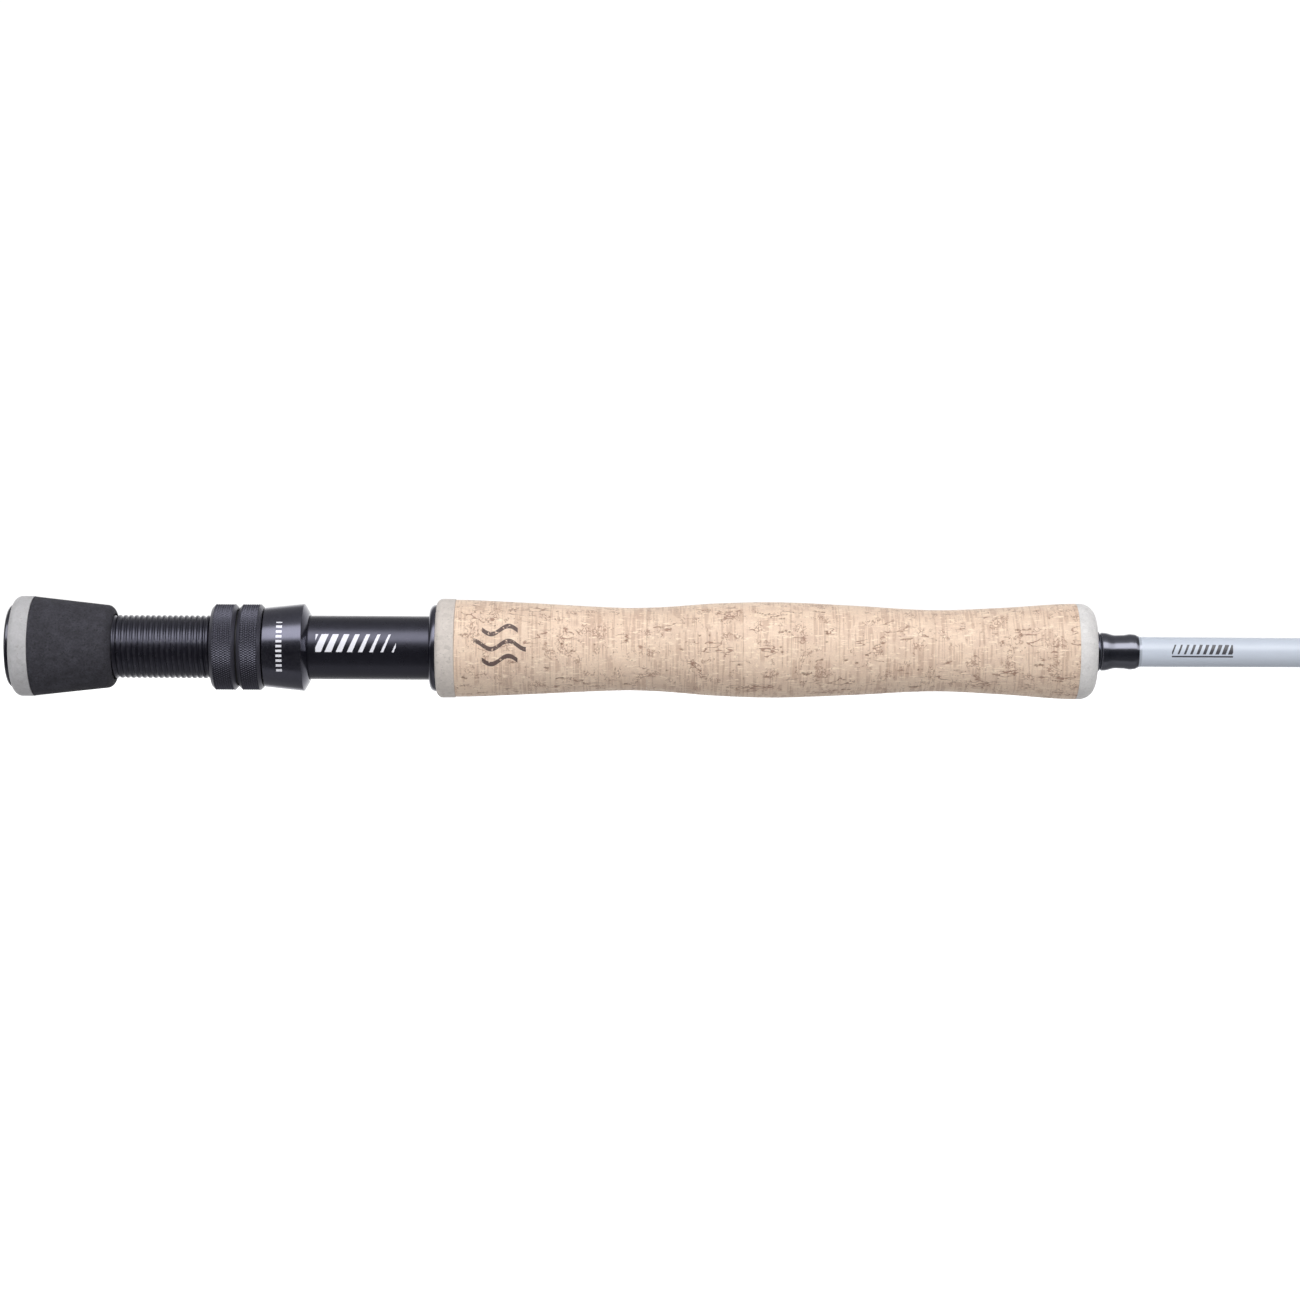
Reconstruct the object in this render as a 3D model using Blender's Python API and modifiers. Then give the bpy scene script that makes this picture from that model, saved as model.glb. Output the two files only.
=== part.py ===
"""Nine-foot four-piece fly rod with a cork grip, an up-locking reel seat and a fighting butt.

The rod lies along +X with the middle of its butt cap at the origin. The side that the reel and the
line guides are on faces +Y. All lengths are metres. Run it in Blender's text editor, or with
blender --background --python part.py.
"""

import math

import bmesh
import bpy
from mathutils import Matrix, Vector

# The whole rod: four equal sections, each one's hollow butt end pushed over the tip of the last.
ROD_LENGTH = 2.7432
SECTIONS = 4
FERRULE_DEPTH = 0.055
SECTION_LENGTH = (ROD_LENGTH + (SECTIONS - 1) * FERRULE_DEPTH) / SECTIONS
BLANK_START = 0.0046
FIRST_BLANK_RADIUS = 0.0047
BLANK_RADIUS_STEP = 0.0008
TIP_RADIUS = 0.00095
FERRULE_WALL = 0.00063
FERRULE_CLEARANCE = 0.00008
FERRULE_END_ROOM = 0.001
BLANK_WALLS = (0.0010, 0.0008, 0.0007, 0.0005)

# Pieces that are glued or stand face to face keep GAP, and pieces that slide keep RUNNING.
GAP = 0.0003
GLUE = 0.00015
RUNNING = 0.00008

# Butt end.
CAP_RADIUS = 0.0111
CAP_CHAMFER = 0.0004
CAP_END = 0.0026
CAP_PLUG_RADIUS = 0.0034
CAP_PLUG_END = 0.016
BUTT_RING_START = 0.0012
BUTT_RING_RADIUS = 0.0136
BUTT_RING_CORNER = 0.0022
FOAM_START = 0.0068
FOAM_END = 0.0283
FOAM_RADII = (0.0135, 0.01125)
FOAM_CORNER = 0.0023

# Reel seat.
BARREL_START = 0.0200
BARREL_END = 0.1270
BARREL_RADIUS = 0.0086
BARREL_BORE_RADIUS = 0.0073
THREAD_END = 0.0800
THREAD_CREST_RADIUS = 0.0085
THREAD_RUNOUT = 0.0002
LOCK_RING_RADIUS = 0.0116
LOCK_RING_CHAMFER = 0.0009
LOCK_RING_SPANS = ((0.0548, 0.0617), (0.0621, 0.0686))
WASHER_THICKNESS = 0.0012
WASHER_RADIUS = 0.0100
WASHER_RECESS = 0.0009
HOOD_START = 0.0689
HOOD_LIP = 0.0795
HOOD_END = 0.0810
HOOD_RADII = (0.0107, 0.0118)
HOOD_CHAMFER = 0.0003
HOOD_MOUTH_WALL = 0.0006
BUSH_LENGTH = 0.0028
BUSH_RADIUS = 0.0098
FIXED_HOOD_START = 0.1135
FIXED_HOOD_END = 0.1262
FIXED_HOOD_RADIUS = 0.0113
FIXED_HOOD_LIP_RADIUS = 0.0117
FIXED_HOOD_CORNER = 0.0016
HOOD_POCKET_DEPTH = 0.0082
FIXED_POCKET_DEPTH = 0.0092
POCKET_RADIUS = 0.0108
POCKET_WIDTH = 0.0130
POCKET_UNDERCUT = 0.0004
ARBOR_SPANS = ((0.030, 0.056), (0.086, 0.112))
# A shallow flat along the barrel between the hoods, which the reel's foot lies on.
FOOT_LAND = (0.0817, 0.1130)
FOOT_LAND_Y = 0.0084

# Grip.
GRIP_START = 0.1153
GRIP_LENGTH = 0.1778
GRIP_END = GRIP_START + GRIP_LENGTH
GRIP_RING_LENGTH = 0.0052
CORK_RING_COUNT = 13
CORK_START = GRIP_START + GRIP_RING_LENGTH
CORK_END = GRIP_END - GRIP_RING_LENGTH
GRIP_RING_RADIUS = 0.01335
GRIP_RING_CORNER = 0.0018
FRONT_RING_CORNER = 0.0042
# The full-wells outline: swells at both ends and in the middle, with a waist between each pair.
GRIP_OUTLINE = ((0.0, 0.0131), (0.10, 0.0125), (0.265, 0.0112), (0.33, 0.0114), (0.42, 0.0125),
                (0.52, 0.0129), (0.64, 0.0121), (0.77, 0.0110), (0.88, 0.0117), (1.0, 0.0129))

# Windings in front of the grip, at the ferrules and on the guides.
CHECK_RADIUS = 0.0056
CHECK_LENGTH = 0.0008
CHECK_CHAMFER = 0.0002
FRONT_WINDING_LENGTH = 0.0101
FRONT_WINDING_FORM = ((0.0, 0.0011), (0.24, 0.0007), (0.92, 0.0006), (1.0, 0.0003))  # share, thickness
FERRULE_WINDING_LENGTH = 0.030
FERRULE_WINDING_SETBACK = 0.0005
WINDING_THICKNESS = 0.0007

# Line guides. The gap from the tip to the first one grows by GUIDE_GROWTH from guide to guide.
GUIDE_COUNT = 12
GUIDE_FIRST_GAP = 0.0985
GUIDE_GROWTH = 1.10
STRIPPING_GUIDES = {12: 0.0072, 11: 0.0056}  # guide number: outer radius of its ceramic ring
RING_BEAD_RADIUS = 0.0009
STRIPPING_FOOT = Vector((0.0135, 0.0008, 0.0022))
STRIPPING_RISE = 0.0058
STRIPPING_WIRE_RADIUS = 0.0007
STRIPPING_FRAME_WALL = 0.0012
STRIPPING_FRAME_WIDTH = 0.0014
STRIPPING_FOOT_GAP = 0.0010
STRIPPING_LEG_ROOT = Vector((0.0015, 0.0002, 0.0006))
STRIPPING_LEG_SPREAD = {-1: 24, 1: 62}  # degrees from the bottom of the ring, for the legs at each end
STRIPPING_WINDING_MARGINS = (0.004, 0.0005)
SNAKE_LENGTH = 0.030
SNAKE_LOOP_LENGTH = 0.0150
SNAKE_SWAY = 0.0032
SNAKE_WIRE_RADIUS = 0.00045
SNAKE_HEIGHTS = (0.0044, 0.0062)
SNAKE_LOOP_FULLNESS = 1.4
SNAKE_WINDING_LENGTH = 0.0085
SNAKE_WINDING_OVERHANG = 0.001
SNAKE_FOOT_LIFT = 0.0001
TIP_TOP_LENGTH = 0.014
TIP_TOP_WALL = 0.0003
TIP_TOP_OVERHANG = 0.0006
TIP_TOP_VENT_RADIUS = 0.0004
TIP_LOOP_RADIUS = 0.0037
TIP_WIRE_RADIUS = 0.0005
TIP_LOOP_SETBACK = 0.0018
TIP_STRUT_START = 0.004
TIP_STRUT_ROOT = (0.0001, 0.0003)  # sunk into the tube, and apart
TIP_WINDING_LENGTH = 0.007
TIP_WINDING_THICKNESS = 0.0005


def clear_scene():
    for obj in list(bpy.data.objects):
        bpy.data.objects.remove(obj, do_unlink=True)


clear_scene()
parts = bpy.data.collections.new("fly_rod")
helpers = bpy.data.collections.new("cutters")
bpy.context.scene.collection.children.link(parts)
bpy.context.scene.collection.children.link(helpers)


# Materials.

def make_material(name, colour, roughness, metallic=0.0):
    material = bpy.data.materials.new(name)
    material.use_nodes = True
    shader = material.node_tree.nodes["Principled BSDF"]
    shader.inputs["Base Color"].default_value = (*colour, 1.0)
    shader.inputs["Roughness"].default_value = roughness
    shader.inputs["Metallic"].default_value = metallic
    return material


gloss_black = make_material("gloss_black", (0.02, 0.02, 0.025), 0.15)
grey_rubber_cork = make_material("grey_rubber_cork", (0.50, 0.49, 0.50), 0.7)
charcoal_foam = make_material("charcoal_foam", (0.045, 0.045, 0.055), 0.85)
black_anodised = make_material("black_anodised", (0.02, 0.02, 0.03), 0.3, 0.6)
natural_cork = make_material("natural_cork", (0.77, 0.60, 0.44), 0.75)
grey_blank = make_material("grey_blank", (0.60, 0.65, 0.72), 0.35)
winding_resin = make_material("winding_resin", (0.012, 0.012, 0.016), 0.08)
black_nylon = make_material("black_nylon", (0.02, 0.02, 0.02), 0.5)
white_foam = make_material("white_foam", (0.7, 0.7, 0.66), 0.8)
polished_steel = make_material("polished_steel", (0.62, 0.62, 0.62), 0.12, 1.0)
dark_ceramic = make_material("dark_ceramic", (0.03, 0.03, 0.035), 0.1)


# Ways of making a piece.

def add_piece(name, data, material, location=(0, 0, 0), parent=None, collection=parts):
    piece = bpy.data.objects.new(name, data)
    collection.objects.link(piece)
    piece.location = location
    if parent:
        piece.parent = parent
        piece.location = Vector(location) - parent.location
    if material:
        data.materials.append(material)
    if collection is helpers:
        piece.hide_render = True
        piece.display_type = "WIRE"
    return piece


def add_carrier(name, x):
    """An empty on the rod's axis, which carries the pieces that move together."""
    carrier = bpy.data.objects.new(name, None)
    parts.objects.link(carrier)
    carrier.location = (x, 0, 0)
    return carrier


def turned(name, outline, material, segments=28, axis_y=0.0, parent=None, collection=parts):
    """A piece turned about a line along X. The outline is a list of (x, radius), which runs along the
    outside towards the tip and back along the bore. It starts and ends on the axis if there's no bore.
    A flat facet, not an edge, faces +Y."""
    start = outline[0][0]
    half_facet = math.pi / segments
    mesh = bpy.data.meshes.new(name)
    points = [(x - start, r * math.cos(half_facet), r * math.sin(half_facet)) for x, r in outline]
    edges = [(i, i + 1) for i in range(len(points) - 1)]
    if outline[0][1] > 0:
        edges.append((len(points) - 1, 0))
    mesh.from_pydata(points, edges, [])
    piece = add_piece(name, mesh, material, (start, axis_y, 0), parent, collection)
    screw = piece.modifiers.new("turn", "SCREW")
    screw.axis = "X"
    screw.steps = screw.render_steps = segments
    screw.use_merge_vertices = True
    screw.merge_threshold = 1e-6
    screw.use_normal_flip = True
    return piece


def sleeve(name, start, end, outer, bore, material, **options):
    """A plain tube. outer and bore are each one radius or a pair, at its start and its end."""
    outer = outer if isinstance(outer, tuple) else (outer, outer)
    bore = bore if isinstance(bore, tuple) else (bore, bore)
    outline = [(start, outer[0]), (end, outer[1]), (end, bore[1]), (start, bore[0])]
    return turned(name, outline, material, **options)


def block(name, low, high):
    """A box between two corners, to cut or join with."""
    low, high = Vector(low), Vector(high)
    shape = bmesh.new()
    bmesh.ops.create_cube(shape, size=1.0)
    bmesh.ops.scale(shape, vec=high - low, verts=shape.verts)
    mesh = bpy.data.meshes.new(name)
    shape.to_mesh(mesh)
    shape.free()
    return add_piece(name, mesh, None, (low + high) / 2, collection=helpers)


def wire(name, points, radius, cyclic=False):
    """A wire through the points, as a closed mesh. A cyclic one is a ring."""
    curve = bpy.data.curves.new(name, "CURVE")
    curve.dimensions = "3D"
    curve.bevel_depth = radius
    curve.bevel_resolution = 1
    curve.use_fill_caps = not cyclic
    spline = curve.splines.new("POLY")
    spline.points.add(len(points) - 1)
    for target, point in zip(spline.points, points):
        target.co = (*point, 1.0)
    spline.use_cyclic_u = cyclic
    holder = bpy.data.objects.new(name, curve)
    helpers.objects.link(holder)
    bpy.context.view_layer.update()
    mesh = bpy.data.meshes.new_from_object(holder.evaluated_get(bpy.context.evaluated_depsgraph_get()))
    bpy.data.objects.remove(holder)
    bpy.data.curves.remove(curve)
    shape = bmesh.new()
    shape.from_mesh(mesh)
    bmesh.ops.remove_doubles(shape, verts=shape.verts, dist=1e-6)
    bmesh.ops.recalc_face_normals(shape, faces=shape.faces)
    shape.to_mesh(mesh)
    shape.free()
    return add_piece(name, mesh, None, collection=helpers)


def combine(piece, others, operation):
    """Boolean modifiers that join the others to the piece, or cut them from it."""
    for other in others:
        modifier = piece.modifiers.new(other.name, "BOOLEAN")
        modifier.operation = operation
        modifier.object = other
    return piece


def arc(centre_x, centre_r, radius, start_deg, end_deg, steps):
    """Outline points round a corner, with the angle measured from +X towards larger radii."""
    angles = [math.radians(start_deg + (end_deg - start_deg) * i / steps) for i in range(steps + 1)]
    return [(centre_x + radius * math.cos(a), centre_r + radius * math.sin(a)) for a in angles]


# The blank: where each section lies and how thick it is.

def section_span(section):
    start = section * (SECTION_LENGTH - FERRULE_DEPTH)
    return (start if section else BLANK_START), start + SECTION_LENGTH


def section_radii(section):
    """Outer radii at a section's butt end and at its tip end."""
    first = FIRST_BLANK_RADIUS - section * BLANK_RADIUS_STEP
    if section == SECTIONS - 1:
        return first, TIP_RADIUS
    return first, first - BLANK_RADIUS_STEP - FERRULE_WALL - FERRULE_CLEARANCE


def blank_radius(x, section=None):
    """Outer radius of the rod at x, or of one section there."""
    if section is None:
        section = max(s for s in range(SECTIONS) if s == 0 or section_span(s)[0] <= x)
    start, end = section_span(section)
    first, last = section_radii(section)
    return first + (last - first) * (x - start) / (end - start)


def make_section(section, parent):
    start, end = section_span(section)
    wall = BLANK_WALLS[section]
    outline = [(start, blank_radius(start, section)), (end, blank_radius(end, section)),
               (end, blank_radius(end, section) - wall)]
    if section == 0:
        outline.append((start, blank_radius(start, section) - wall))
    else:
        socket = start + FERRULE_DEPTH + FERRULE_END_ROOM
        outline += [(socket, blank_radius(socket, section) - wall),
                    (socket, blank_radius(socket, section - 1) + FERRULE_CLEARANCE),
                    (start, blank_radius(start, section - 1) + FERRULE_CLEARANCE)]
    name = "butt_blank" if section == 0 else "tip_blank" if section == 3 else f"mid_blank_{section}"
    return turned(name, outline, grey_blank, segments=20, parent=parent)


section_carriers = [None] + [
    add_carrier(f"section_{s + 1}_carrier", section_span(s)[0]) for s in range(1, SECTIONS)
]
for number, carrier in enumerate(section_carriers):
    make_section(number, carrier)
    if carrier:
        x = section_span(number)[0] + FERRULE_WINDING_SETBACK
        end_x = x + FERRULE_WINDING_LENGTH
        sleeve(f"ferrule_winding_{number}", x, end_x,
               (blank_radius(x) + WINDING_THICKNESS, blank_radius(end_x) + WINDING_THICKNESS),
               (blank_radius(x) + GLUE, blank_radius(end_x) + GLUE),
               winding_resin, segments=20, parent=carrier)


# Butt end: a turned cap plugged into the blank, a rubber-cork ring and a foam fighting butt.

turned("butt_cap",
       [(0, 0), (0, CAP_RADIUS - CAP_CHAMFER), (CAP_CHAMFER, CAP_RADIUS), (CAP_END, CAP_RADIUS),
        (CAP_END, CAP_PLUG_RADIUS), (CAP_PLUG_END, CAP_PLUG_RADIUS), (CAP_PLUG_END, 0)],
       gloss_black)

ring_end = FOAM_START - GAP
ring_corner = arc(BUTT_RING_START + BUTT_RING_CORNER, BUTT_RING_RADIUS - BUTT_RING_CORNER,
                  BUTT_RING_CORNER, 180, 90, 3)
turned("butt_ring",
       ring_corner + [(ring_end, BUTT_RING_RADIUS),
                      (ring_end, FIRST_BLANK_RADIUS + GLUE), (CAP_END + GAP, FIRST_BLANK_RADIUS + GLUE),
                      (CAP_END + GAP, CAP_RADIUS + GLUE), (BUTT_RING_START, CAP_RADIUS + GLUE)],
       grey_rubber_cork)

foam_corner = arc(FOAM_END - FOAM_CORNER, FOAM_RADII[1] - FOAM_CORNER, FOAM_CORNER, 85, 0, 3)
turned("fighting_butt",
       [(FOAM_START, FOAM_RADII[0])] + foam_corner
       + [(FOAM_END, BARREL_RADIUS + GLUE), (BARREL_START - GAP, BARREL_RADIUS + GLUE),
          (BARREL_START - GAP, FIRST_BLANK_RADIUS + GLUE), (FOAM_START, FIRST_BLANK_RADIUS + GLUE)],
       charcoal_foam)


# Reel seat: a threaded barrel on two arbors round the blank.

barrel = turned(
    "reel_seat_barrel",
    [(BARREL_START, THREAD_CREST_RADIUS), (THREAD_END, THREAD_CREST_RADIUS),
     (THREAD_END + THREAD_RUNOUT, BARREL_RADIUS), (BARREL_END, BARREL_RADIUS),
     (BARREL_END, BARREL_BORE_RADIUS), (BARREL_START, BARREL_BORE_RADIUS)],
    black_anodised)
combine(barrel, [block("foot_land", (FOOT_LAND[0], FOOT_LAND_Y, -BARREL_RADIUS),
                       (FOOT_LAND[1], 2 * BARREL_RADIUS, BARREL_RADIUS))],
        "DIFFERENCE")

for name, (x, end_x) in zip(("rear_arbor", "front_arbor"), ARBOR_SPANS):
    sleeve(name, x, end_x, BARREL_BORE_RADIUS - GLUE,
           (blank_radius(x) + GLUE, blank_radius(end_x) + GLUE), white_foam, segments=20)


def foot_pocket(name, low_x, high_x):
    """A cutter for the pocket that one end of the reel's foot slides into, on the reel's side."""
    ring = sleeve(name, low_x, high_x, POCKET_RADIUS, BARREL_RADIUS - POCKET_UNDERCUT, None,
                  collection=helpers)
    half = POCKET_WIDTH / 2
    side = block(name + "_side", (low_x - GAP, 0, -half), (high_x + GAP, 2 * POCKET_RADIUS, half))
    return combine(ring, [side], "INTERSECT")


hood_carrier = add_carrier("hood_carrier", HOOD_START)
hood_bore = BARREL_RADIUS + RUNNING
bush_end = HOOD_START + GAP + BUSH_LENGTH
sliding_hood = turned(
    "sliding_hood",
    [(HOOD_START, HOOD_RADII[0] - HOOD_CHAMFER), (HOOD_START + HOOD_CHAMFER, HOOD_RADII[0]),
     (HOOD_LIP, HOOD_RADII[1]), (HOOD_END, BARREL_RADIUS + HOOD_MOUTH_WALL), (HOOD_END, hood_bore),
     (bush_end + GAP, hood_bore), (bush_end + GAP, BUSH_RADIUS + GLUE),
     (HOOD_START, BUSH_RADIUS + GLUE)],
    black_anodised, parent=hood_carrier)
combine(sliding_hood, [foot_pocket("hood_pocket", HOOD_END - HOOD_POCKET_DEPTH, HOOD_END + GAP)],
        "DIFFERENCE")
sleeve("hood_bush", HOOD_START + GAP, bush_end, BUSH_RADIUS, hood_bore, black_nylon,
       parent=hood_carrier)

fixed_hood = turned(
    "fixed_hood",
    arc(FIXED_HOOD_START + FIXED_HOOD_CORNER, FIXED_HOOD_LIP_RADIUS - FIXED_HOOD_CORNER,
        FIXED_HOOD_CORNER, 180, 90, 3)
    + [(GRIP_START - GAP, FIXED_HOOD_LIP_RADIUS), (GRIP_START - GAP, FIXED_HOOD_RADIUS),
       (FIXED_HOOD_END, FIXED_HOOD_RADIUS), (FIXED_HOOD_END, BARREL_RADIUS + GLUE),
       (FIXED_HOOD_START, BARREL_RADIUS + GLUE)],
    black_anodised)
combine(fixed_hood,
        [foot_pocket("fixed_pocket", FIXED_HOOD_START - GAP, FIXED_HOOD_START + FIXED_POCKET_DEPTH)],
        "DIFFERENCE")


# Two lock rings run on the thread behind the hood, with a nylon washer between them.

washer_middle = (LOCK_RING_SPANS[0][1] + LOCK_RING_SPANS[1][0]) / 2
front_ring_carrier = add_carrier("front_ring_carrier", LOCK_RING_SPANS[1][0])
washer_carrier = add_carrier("washer_carrier", washer_middle)
rear_ring_carrier = add_carrier("rear_ring_carrier", LOCK_RING_SPANS[0][0])


def lock_ring(name, span, recess_at_start, parent):
    """A ring on the thread, with a recess in one face for the washer."""
    low, high = span
    bore = THREAD_CREST_RADIUS + RUNNING
    rim = LOCK_RING_RADIUS - LOCK_RING_CHAMFER
    outside = [(low, rim), (low + LOCK_RING_CHAMFER, LOCK_RING_RADIUS),
               (high - LOCK_RING_CHAMFER, LOCK_RING_RADIUS), (high, rim)]
    recess = WASHER_RADIUS + GAP
    if recess_at_start:
        floor = washer_middle + WASHER_RECESS
        inside = [(high, bore), (floor, bore), (floor, recess), (low, recess)]
    else:
        floor = washer_middle - WASHER_RECESS
        inside = [(high, recess), (floor, recess), (floor, bore), (low, bore)]
    return turned(name, outside + inside, black_anodised, parent=parent)


lock_ring("front_lock_ring", LOCK_RING_SPANS[1], True, front_ring_carrier)
lock_ring("rear_lock_ring", LOCK_RING_SPANS[0], False, rear_ring_carrier)
sleeve("lock_washer", washer_middle - WASHER_THICKNESS / 2, washer_middle + WASHER_THICKNESS / 2,
       WASHER_RADIUS, THREAD_CREST_RADIUS + RUNNING, black_nylon, parent=washer_carrier)


# Grip: cork rings glued on the blank between two rubber-cork rings, then turned to one outline.

def grip_radius(x):
    """Outer radius of the cork: a smooth curve through the points of GRIP_OUTLINE."""
    t = (x - CORK_START) / (CORK_END - CORK_START)
    stations = [station for station, _ in GRIP_OUTLINE]
    radii = [radius for _, radius in GRIP_OUTLINE]
    last = len(stations) - 1
    i = min(max(sum(t > station for station in stations) - 1, 0), last - 1)

    def slope(k):
        if k in (0, last):
            return 0.0
        return (radii[k + 1] - radii[k - 1]) / (stations[k + 1] - stations[k - 1])

    width = stations[i + 1] - stations[i]
    u = (t - stations[i]) / width
    blend = u * u * (3 - 2 * u)
    bend = slope(i) * u * (1 - u) ** 2 - slope(i + 1) * u * u * (1 - u)
    return radii[i] + (radii[i + 1] - radii[i]) * blend + bend * width


def blank_bore(start, end):
    """A bore that follows the blank's taper, as outline points from end back to start."""
    return [(end, blank_radius(end) + GLUE), (start, blank_radius(start) + GLUE)]


hood_socket = FIXED_HOOD_RADIUS + GAP
turned("grip_rear_ring",
       arc(GRIP_START + GRIP_RING_CORNER, GRIP_RING_RADIUS - GRIP_RING_CORNER, GRIP_RING_CORNER,
           180, 90, 3)
       + [(CORK_START - GAP, GRIP_RING_RADIUS), (CORK_START - GAP, hood_socket),
          (GRIP_START, hood_socket)],
       grey_rubber_cork)

cork_pitch = (CORK_END - CORK_START) / CORK_RING_COUNT
for number in range(CORK_RING_COUNT):
    x = CORK_START + number * cork_pitch
    end_x = x + cork_pitch - GAP
    outside = [(x, grip_radius(x)), ((x + end_x) / 2, grip_radius((x + end_x) / 2)),
               (end_x, grip_radius(end_x))]
    inside = blank_bore(x, end_x)
    if number == 0:
        shelf = BARREL_END + GAP
        inside = [(end_x, blank_radius(end_x) + GLUE), (shelf, blank_radius(shelf) + GLUE),
                  (shelf, hood_socket), (x, hood_socket)]
    turned(f"cork_ring_{number + 1:02d}", outside + inside, natural_cork, segments=24)

front_radius = grip_radius(CORK_END)
front_corner = arc(GRIP_END - FRONT_RING_CORNER, front_radius - FRONT_RING_CORNER, FRONT_RING_CORNER,
                   90, 0, 5)
turned("grip_front_ring",
       [(CORK_END, front_radius)] + front_corner + blank_bore(CORK_END, GRIP_END),
       grey_rubber_cork)


# A winding check and an epoxied winding close the front of the grip.

check_start = GRIP_END + GAP
check_end = check_start + CHECK_LENGTH
turned("winding_check",
       [(check_start, CHECK_RADIUS), (check_end, CHECK_RADIUS - CHECK_CHAMFER)]
       + blank_bore(check_start, check_end),
       black_anodised, segments=24)
winding_start = check_end + GAP
winding_end = winding_start + FRONT_WINDING_LENGTH
stations = [(winding_start + FRONT_WINDING_LENGTH * share, thickness)
            for share, thickness in FRONT_WINDING_FORM]
turned("front_winding",
       [(x, blank_radius(x) + thickness) for x, thickness in stations]
       + blank_bore(winding_start, winding_end),
       winding_resin, segments=24)


# Line guides, numbered from the tip.

def guide_x(number):
    """Distance along the rod of a guide: the gaps grow in a constant ratio from the tip."""
    return ROD_LENGTH - GUIDE_FIRST_GAP * (GUIDE_GROWTH ** number - 1) / (GUIDE_GROWTH - 1)


def carrier_at(x):
    section = max(s for s in range(SECTIONS) if s == 0 or section_span(s)[0] <= x)
    return section_carriers[section]


def follow(piece, carrier):
    """Parent a piece that was made in place to the carrier of its rod section."""
    if carrier:
        piece.parent = carrier
        piece.matrix_parent_inverse = Matrix.Translation(-carrier.location)
    return piece


def snake_guide(number):
    """One bent wire: a foot, a loop that crosses over the line, and another foot, under windings."""
    middle = guide_x(number)
    radius = blank_radius(middle)
    share = (number - 1) / (GUIDE_COUNT - len(STRIPPING_GUIDES) - 1)
    height = SNAKE_HEIGHTS[0] + (SNAKE_HEIGHTS[1] - SNAKE_HEIGHTS[0]) * share
    foot_y = radius + GLUE + SNAKE_WIRE_RADIUS + SNAKE_FOOT_LIFT
    points = [(middle - SNAKE_LENGTH / 2, foot_y, 0)]
    steps = 12
    for step in range(steps + 1):
        u = -1 + 2 * step / steps
        points.append((middle + u * SNAKE_LOOP_LENGTH / 2,
                       foot_y + height * math.cos(math.pi * u / 2) ** SNAKE_LOOP_FULLNESS,
                       -SNAKE_SWAY * math.sin(math.pi * u)))
    points.append((middle + SNAKE_LENGTH / 2, foot_y, 0))
    bend = wire(f"snake_wire_{number}", points, SNAKE_WIRE_RADIUS)
    sleeves = []
    for side in (-1, 1):
        far = middle + side * (SNAKE_LENGTH / 2 + SNAKE_WINDING_OVERHANG)
        low, high = sorted((far, far - side * SNAKE_WINDING_LENGTH))
        sleeves.append(sleeve(f"snake_winding_{number}_{side}", low, high, radius + WINDING_THICKNESS,
                              radius + GLUE, None, segments=10, collection=helpers))
    name = f"snake_guide_{GUIDE_COUNT - len(STRIPPING_GUIDES) + 1 - number:02d}"
    guide = add_piece(name, bend.data.copy(), polished_steel)
    combine(guide, sleeves, "UNION")
    bpy.data.objects.remove(bend)
    return follow(guide, carrier_at(middle))


def stripping_guide(number, ring_radius):
    """A ceramic ring in a wire frame on two feet, each foot bound down by a winding."""
    middle = guide_x(number)
    label = GUIDE_COUNT + 1 - number
    carrier = carrier_at(middle)
    radius = blank_radius(middle)
    ring_y = radius + STRIPPING_RISE + ring_radius
    frame_outer = ring_radius + STRIPPING_FRAME_WALL
    frame = sleeve(f"stripping_frame_{label}", middle - STRIPPING_FRAME_WIDTH / 2,
                   middle + STRIPPING_FRAME_WIDTH / 2, frame_outer, ring_radius + GLUE,
                   polished_steel, segments=20, axis_y=ring_y)
    wire_ring_radius = (frame_outer + ring_radius + GLUE) / 2
    foot_low = radius + GLUE
    foot_high = foot_low + STRIPPING_FOOT.y
    half_width = STRIPPING_FOOT.z / 2
    members = []
    for side in (-1, 1):
        inner_x = middle + side * (frame_outer + STRIPPING_FOOT_GAP)
        outer_x = inner_x + side * STRIPPING_FOOT.x
        low_x, high_x = sorted((inner_x, outer_x))
        members.append(block(f"foot_{label}_{side}", (low_x, foot_low, -half_width),
                             (high_x, foot_high, half_width)))
        for hand in (-1, 1):
            angle = math.radians(-90 + hand * STRIPPING_LEG_SPREAD[side])
            top = Vector((middle, ring_y + wire_ring_radius * math.sin(angle),
                          wire_ring_radius * math.cos(angle)))
            root = Vector((inner_x + side * STRIPPING_LEG_ROOT.x,
                           foot_low + STRIPPING_WIRE_RADIUS + STRIPPING_LEG_ROOT.y,
                           hand * STRIPPING_LEG_ROOT.z))
            members.append(wire(f"leg_{label}_{side}_{hand}", [root, top], STRIPPING_WIRE_RADIUS))
        near_margin, far_margin = STRIPPING_WINDING_MARGINS
        slot = block(f"foot_slot_{label}_{side}", (low_x - near_margin, 0, -half_width - GAP),
                     (high_x + near_margin, ring_y, half_width + GAP))
        low_x, high_x = sorted((inner_x + side * near_margin, outer_x + side * far_margin))
        winding = sleeve(f"stripping_winding_{label}{'b' if side > 0 else 'a'}", low_x, high_x,
                         radius + WINDING_THICKNESS, radius + GLUE, winding_resin, segments=16)
        combine(winding, [slot], "DIFFERENCE")
        follow(winding, carrier)
    combine(frame, members, "UNION")
    follow(frame, carrier)
    bead = arc(middle, ring_radius - RING_BEAD_RADIUS, RING_BEAD_RADIUS, 180, -120, 5)
    follow(turned(f"stripping_ring_{label}", bead, dark_ceramic, segments=20, axis_y=ring_y), carrier)


for number in range(1, GUIDE_COUNT + 1):
    if number in STRIPPING_GUIDES:
        stripping_guide(number, STRIPPING_GUIDES[number])
    else:
        snake_guide(number)


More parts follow.
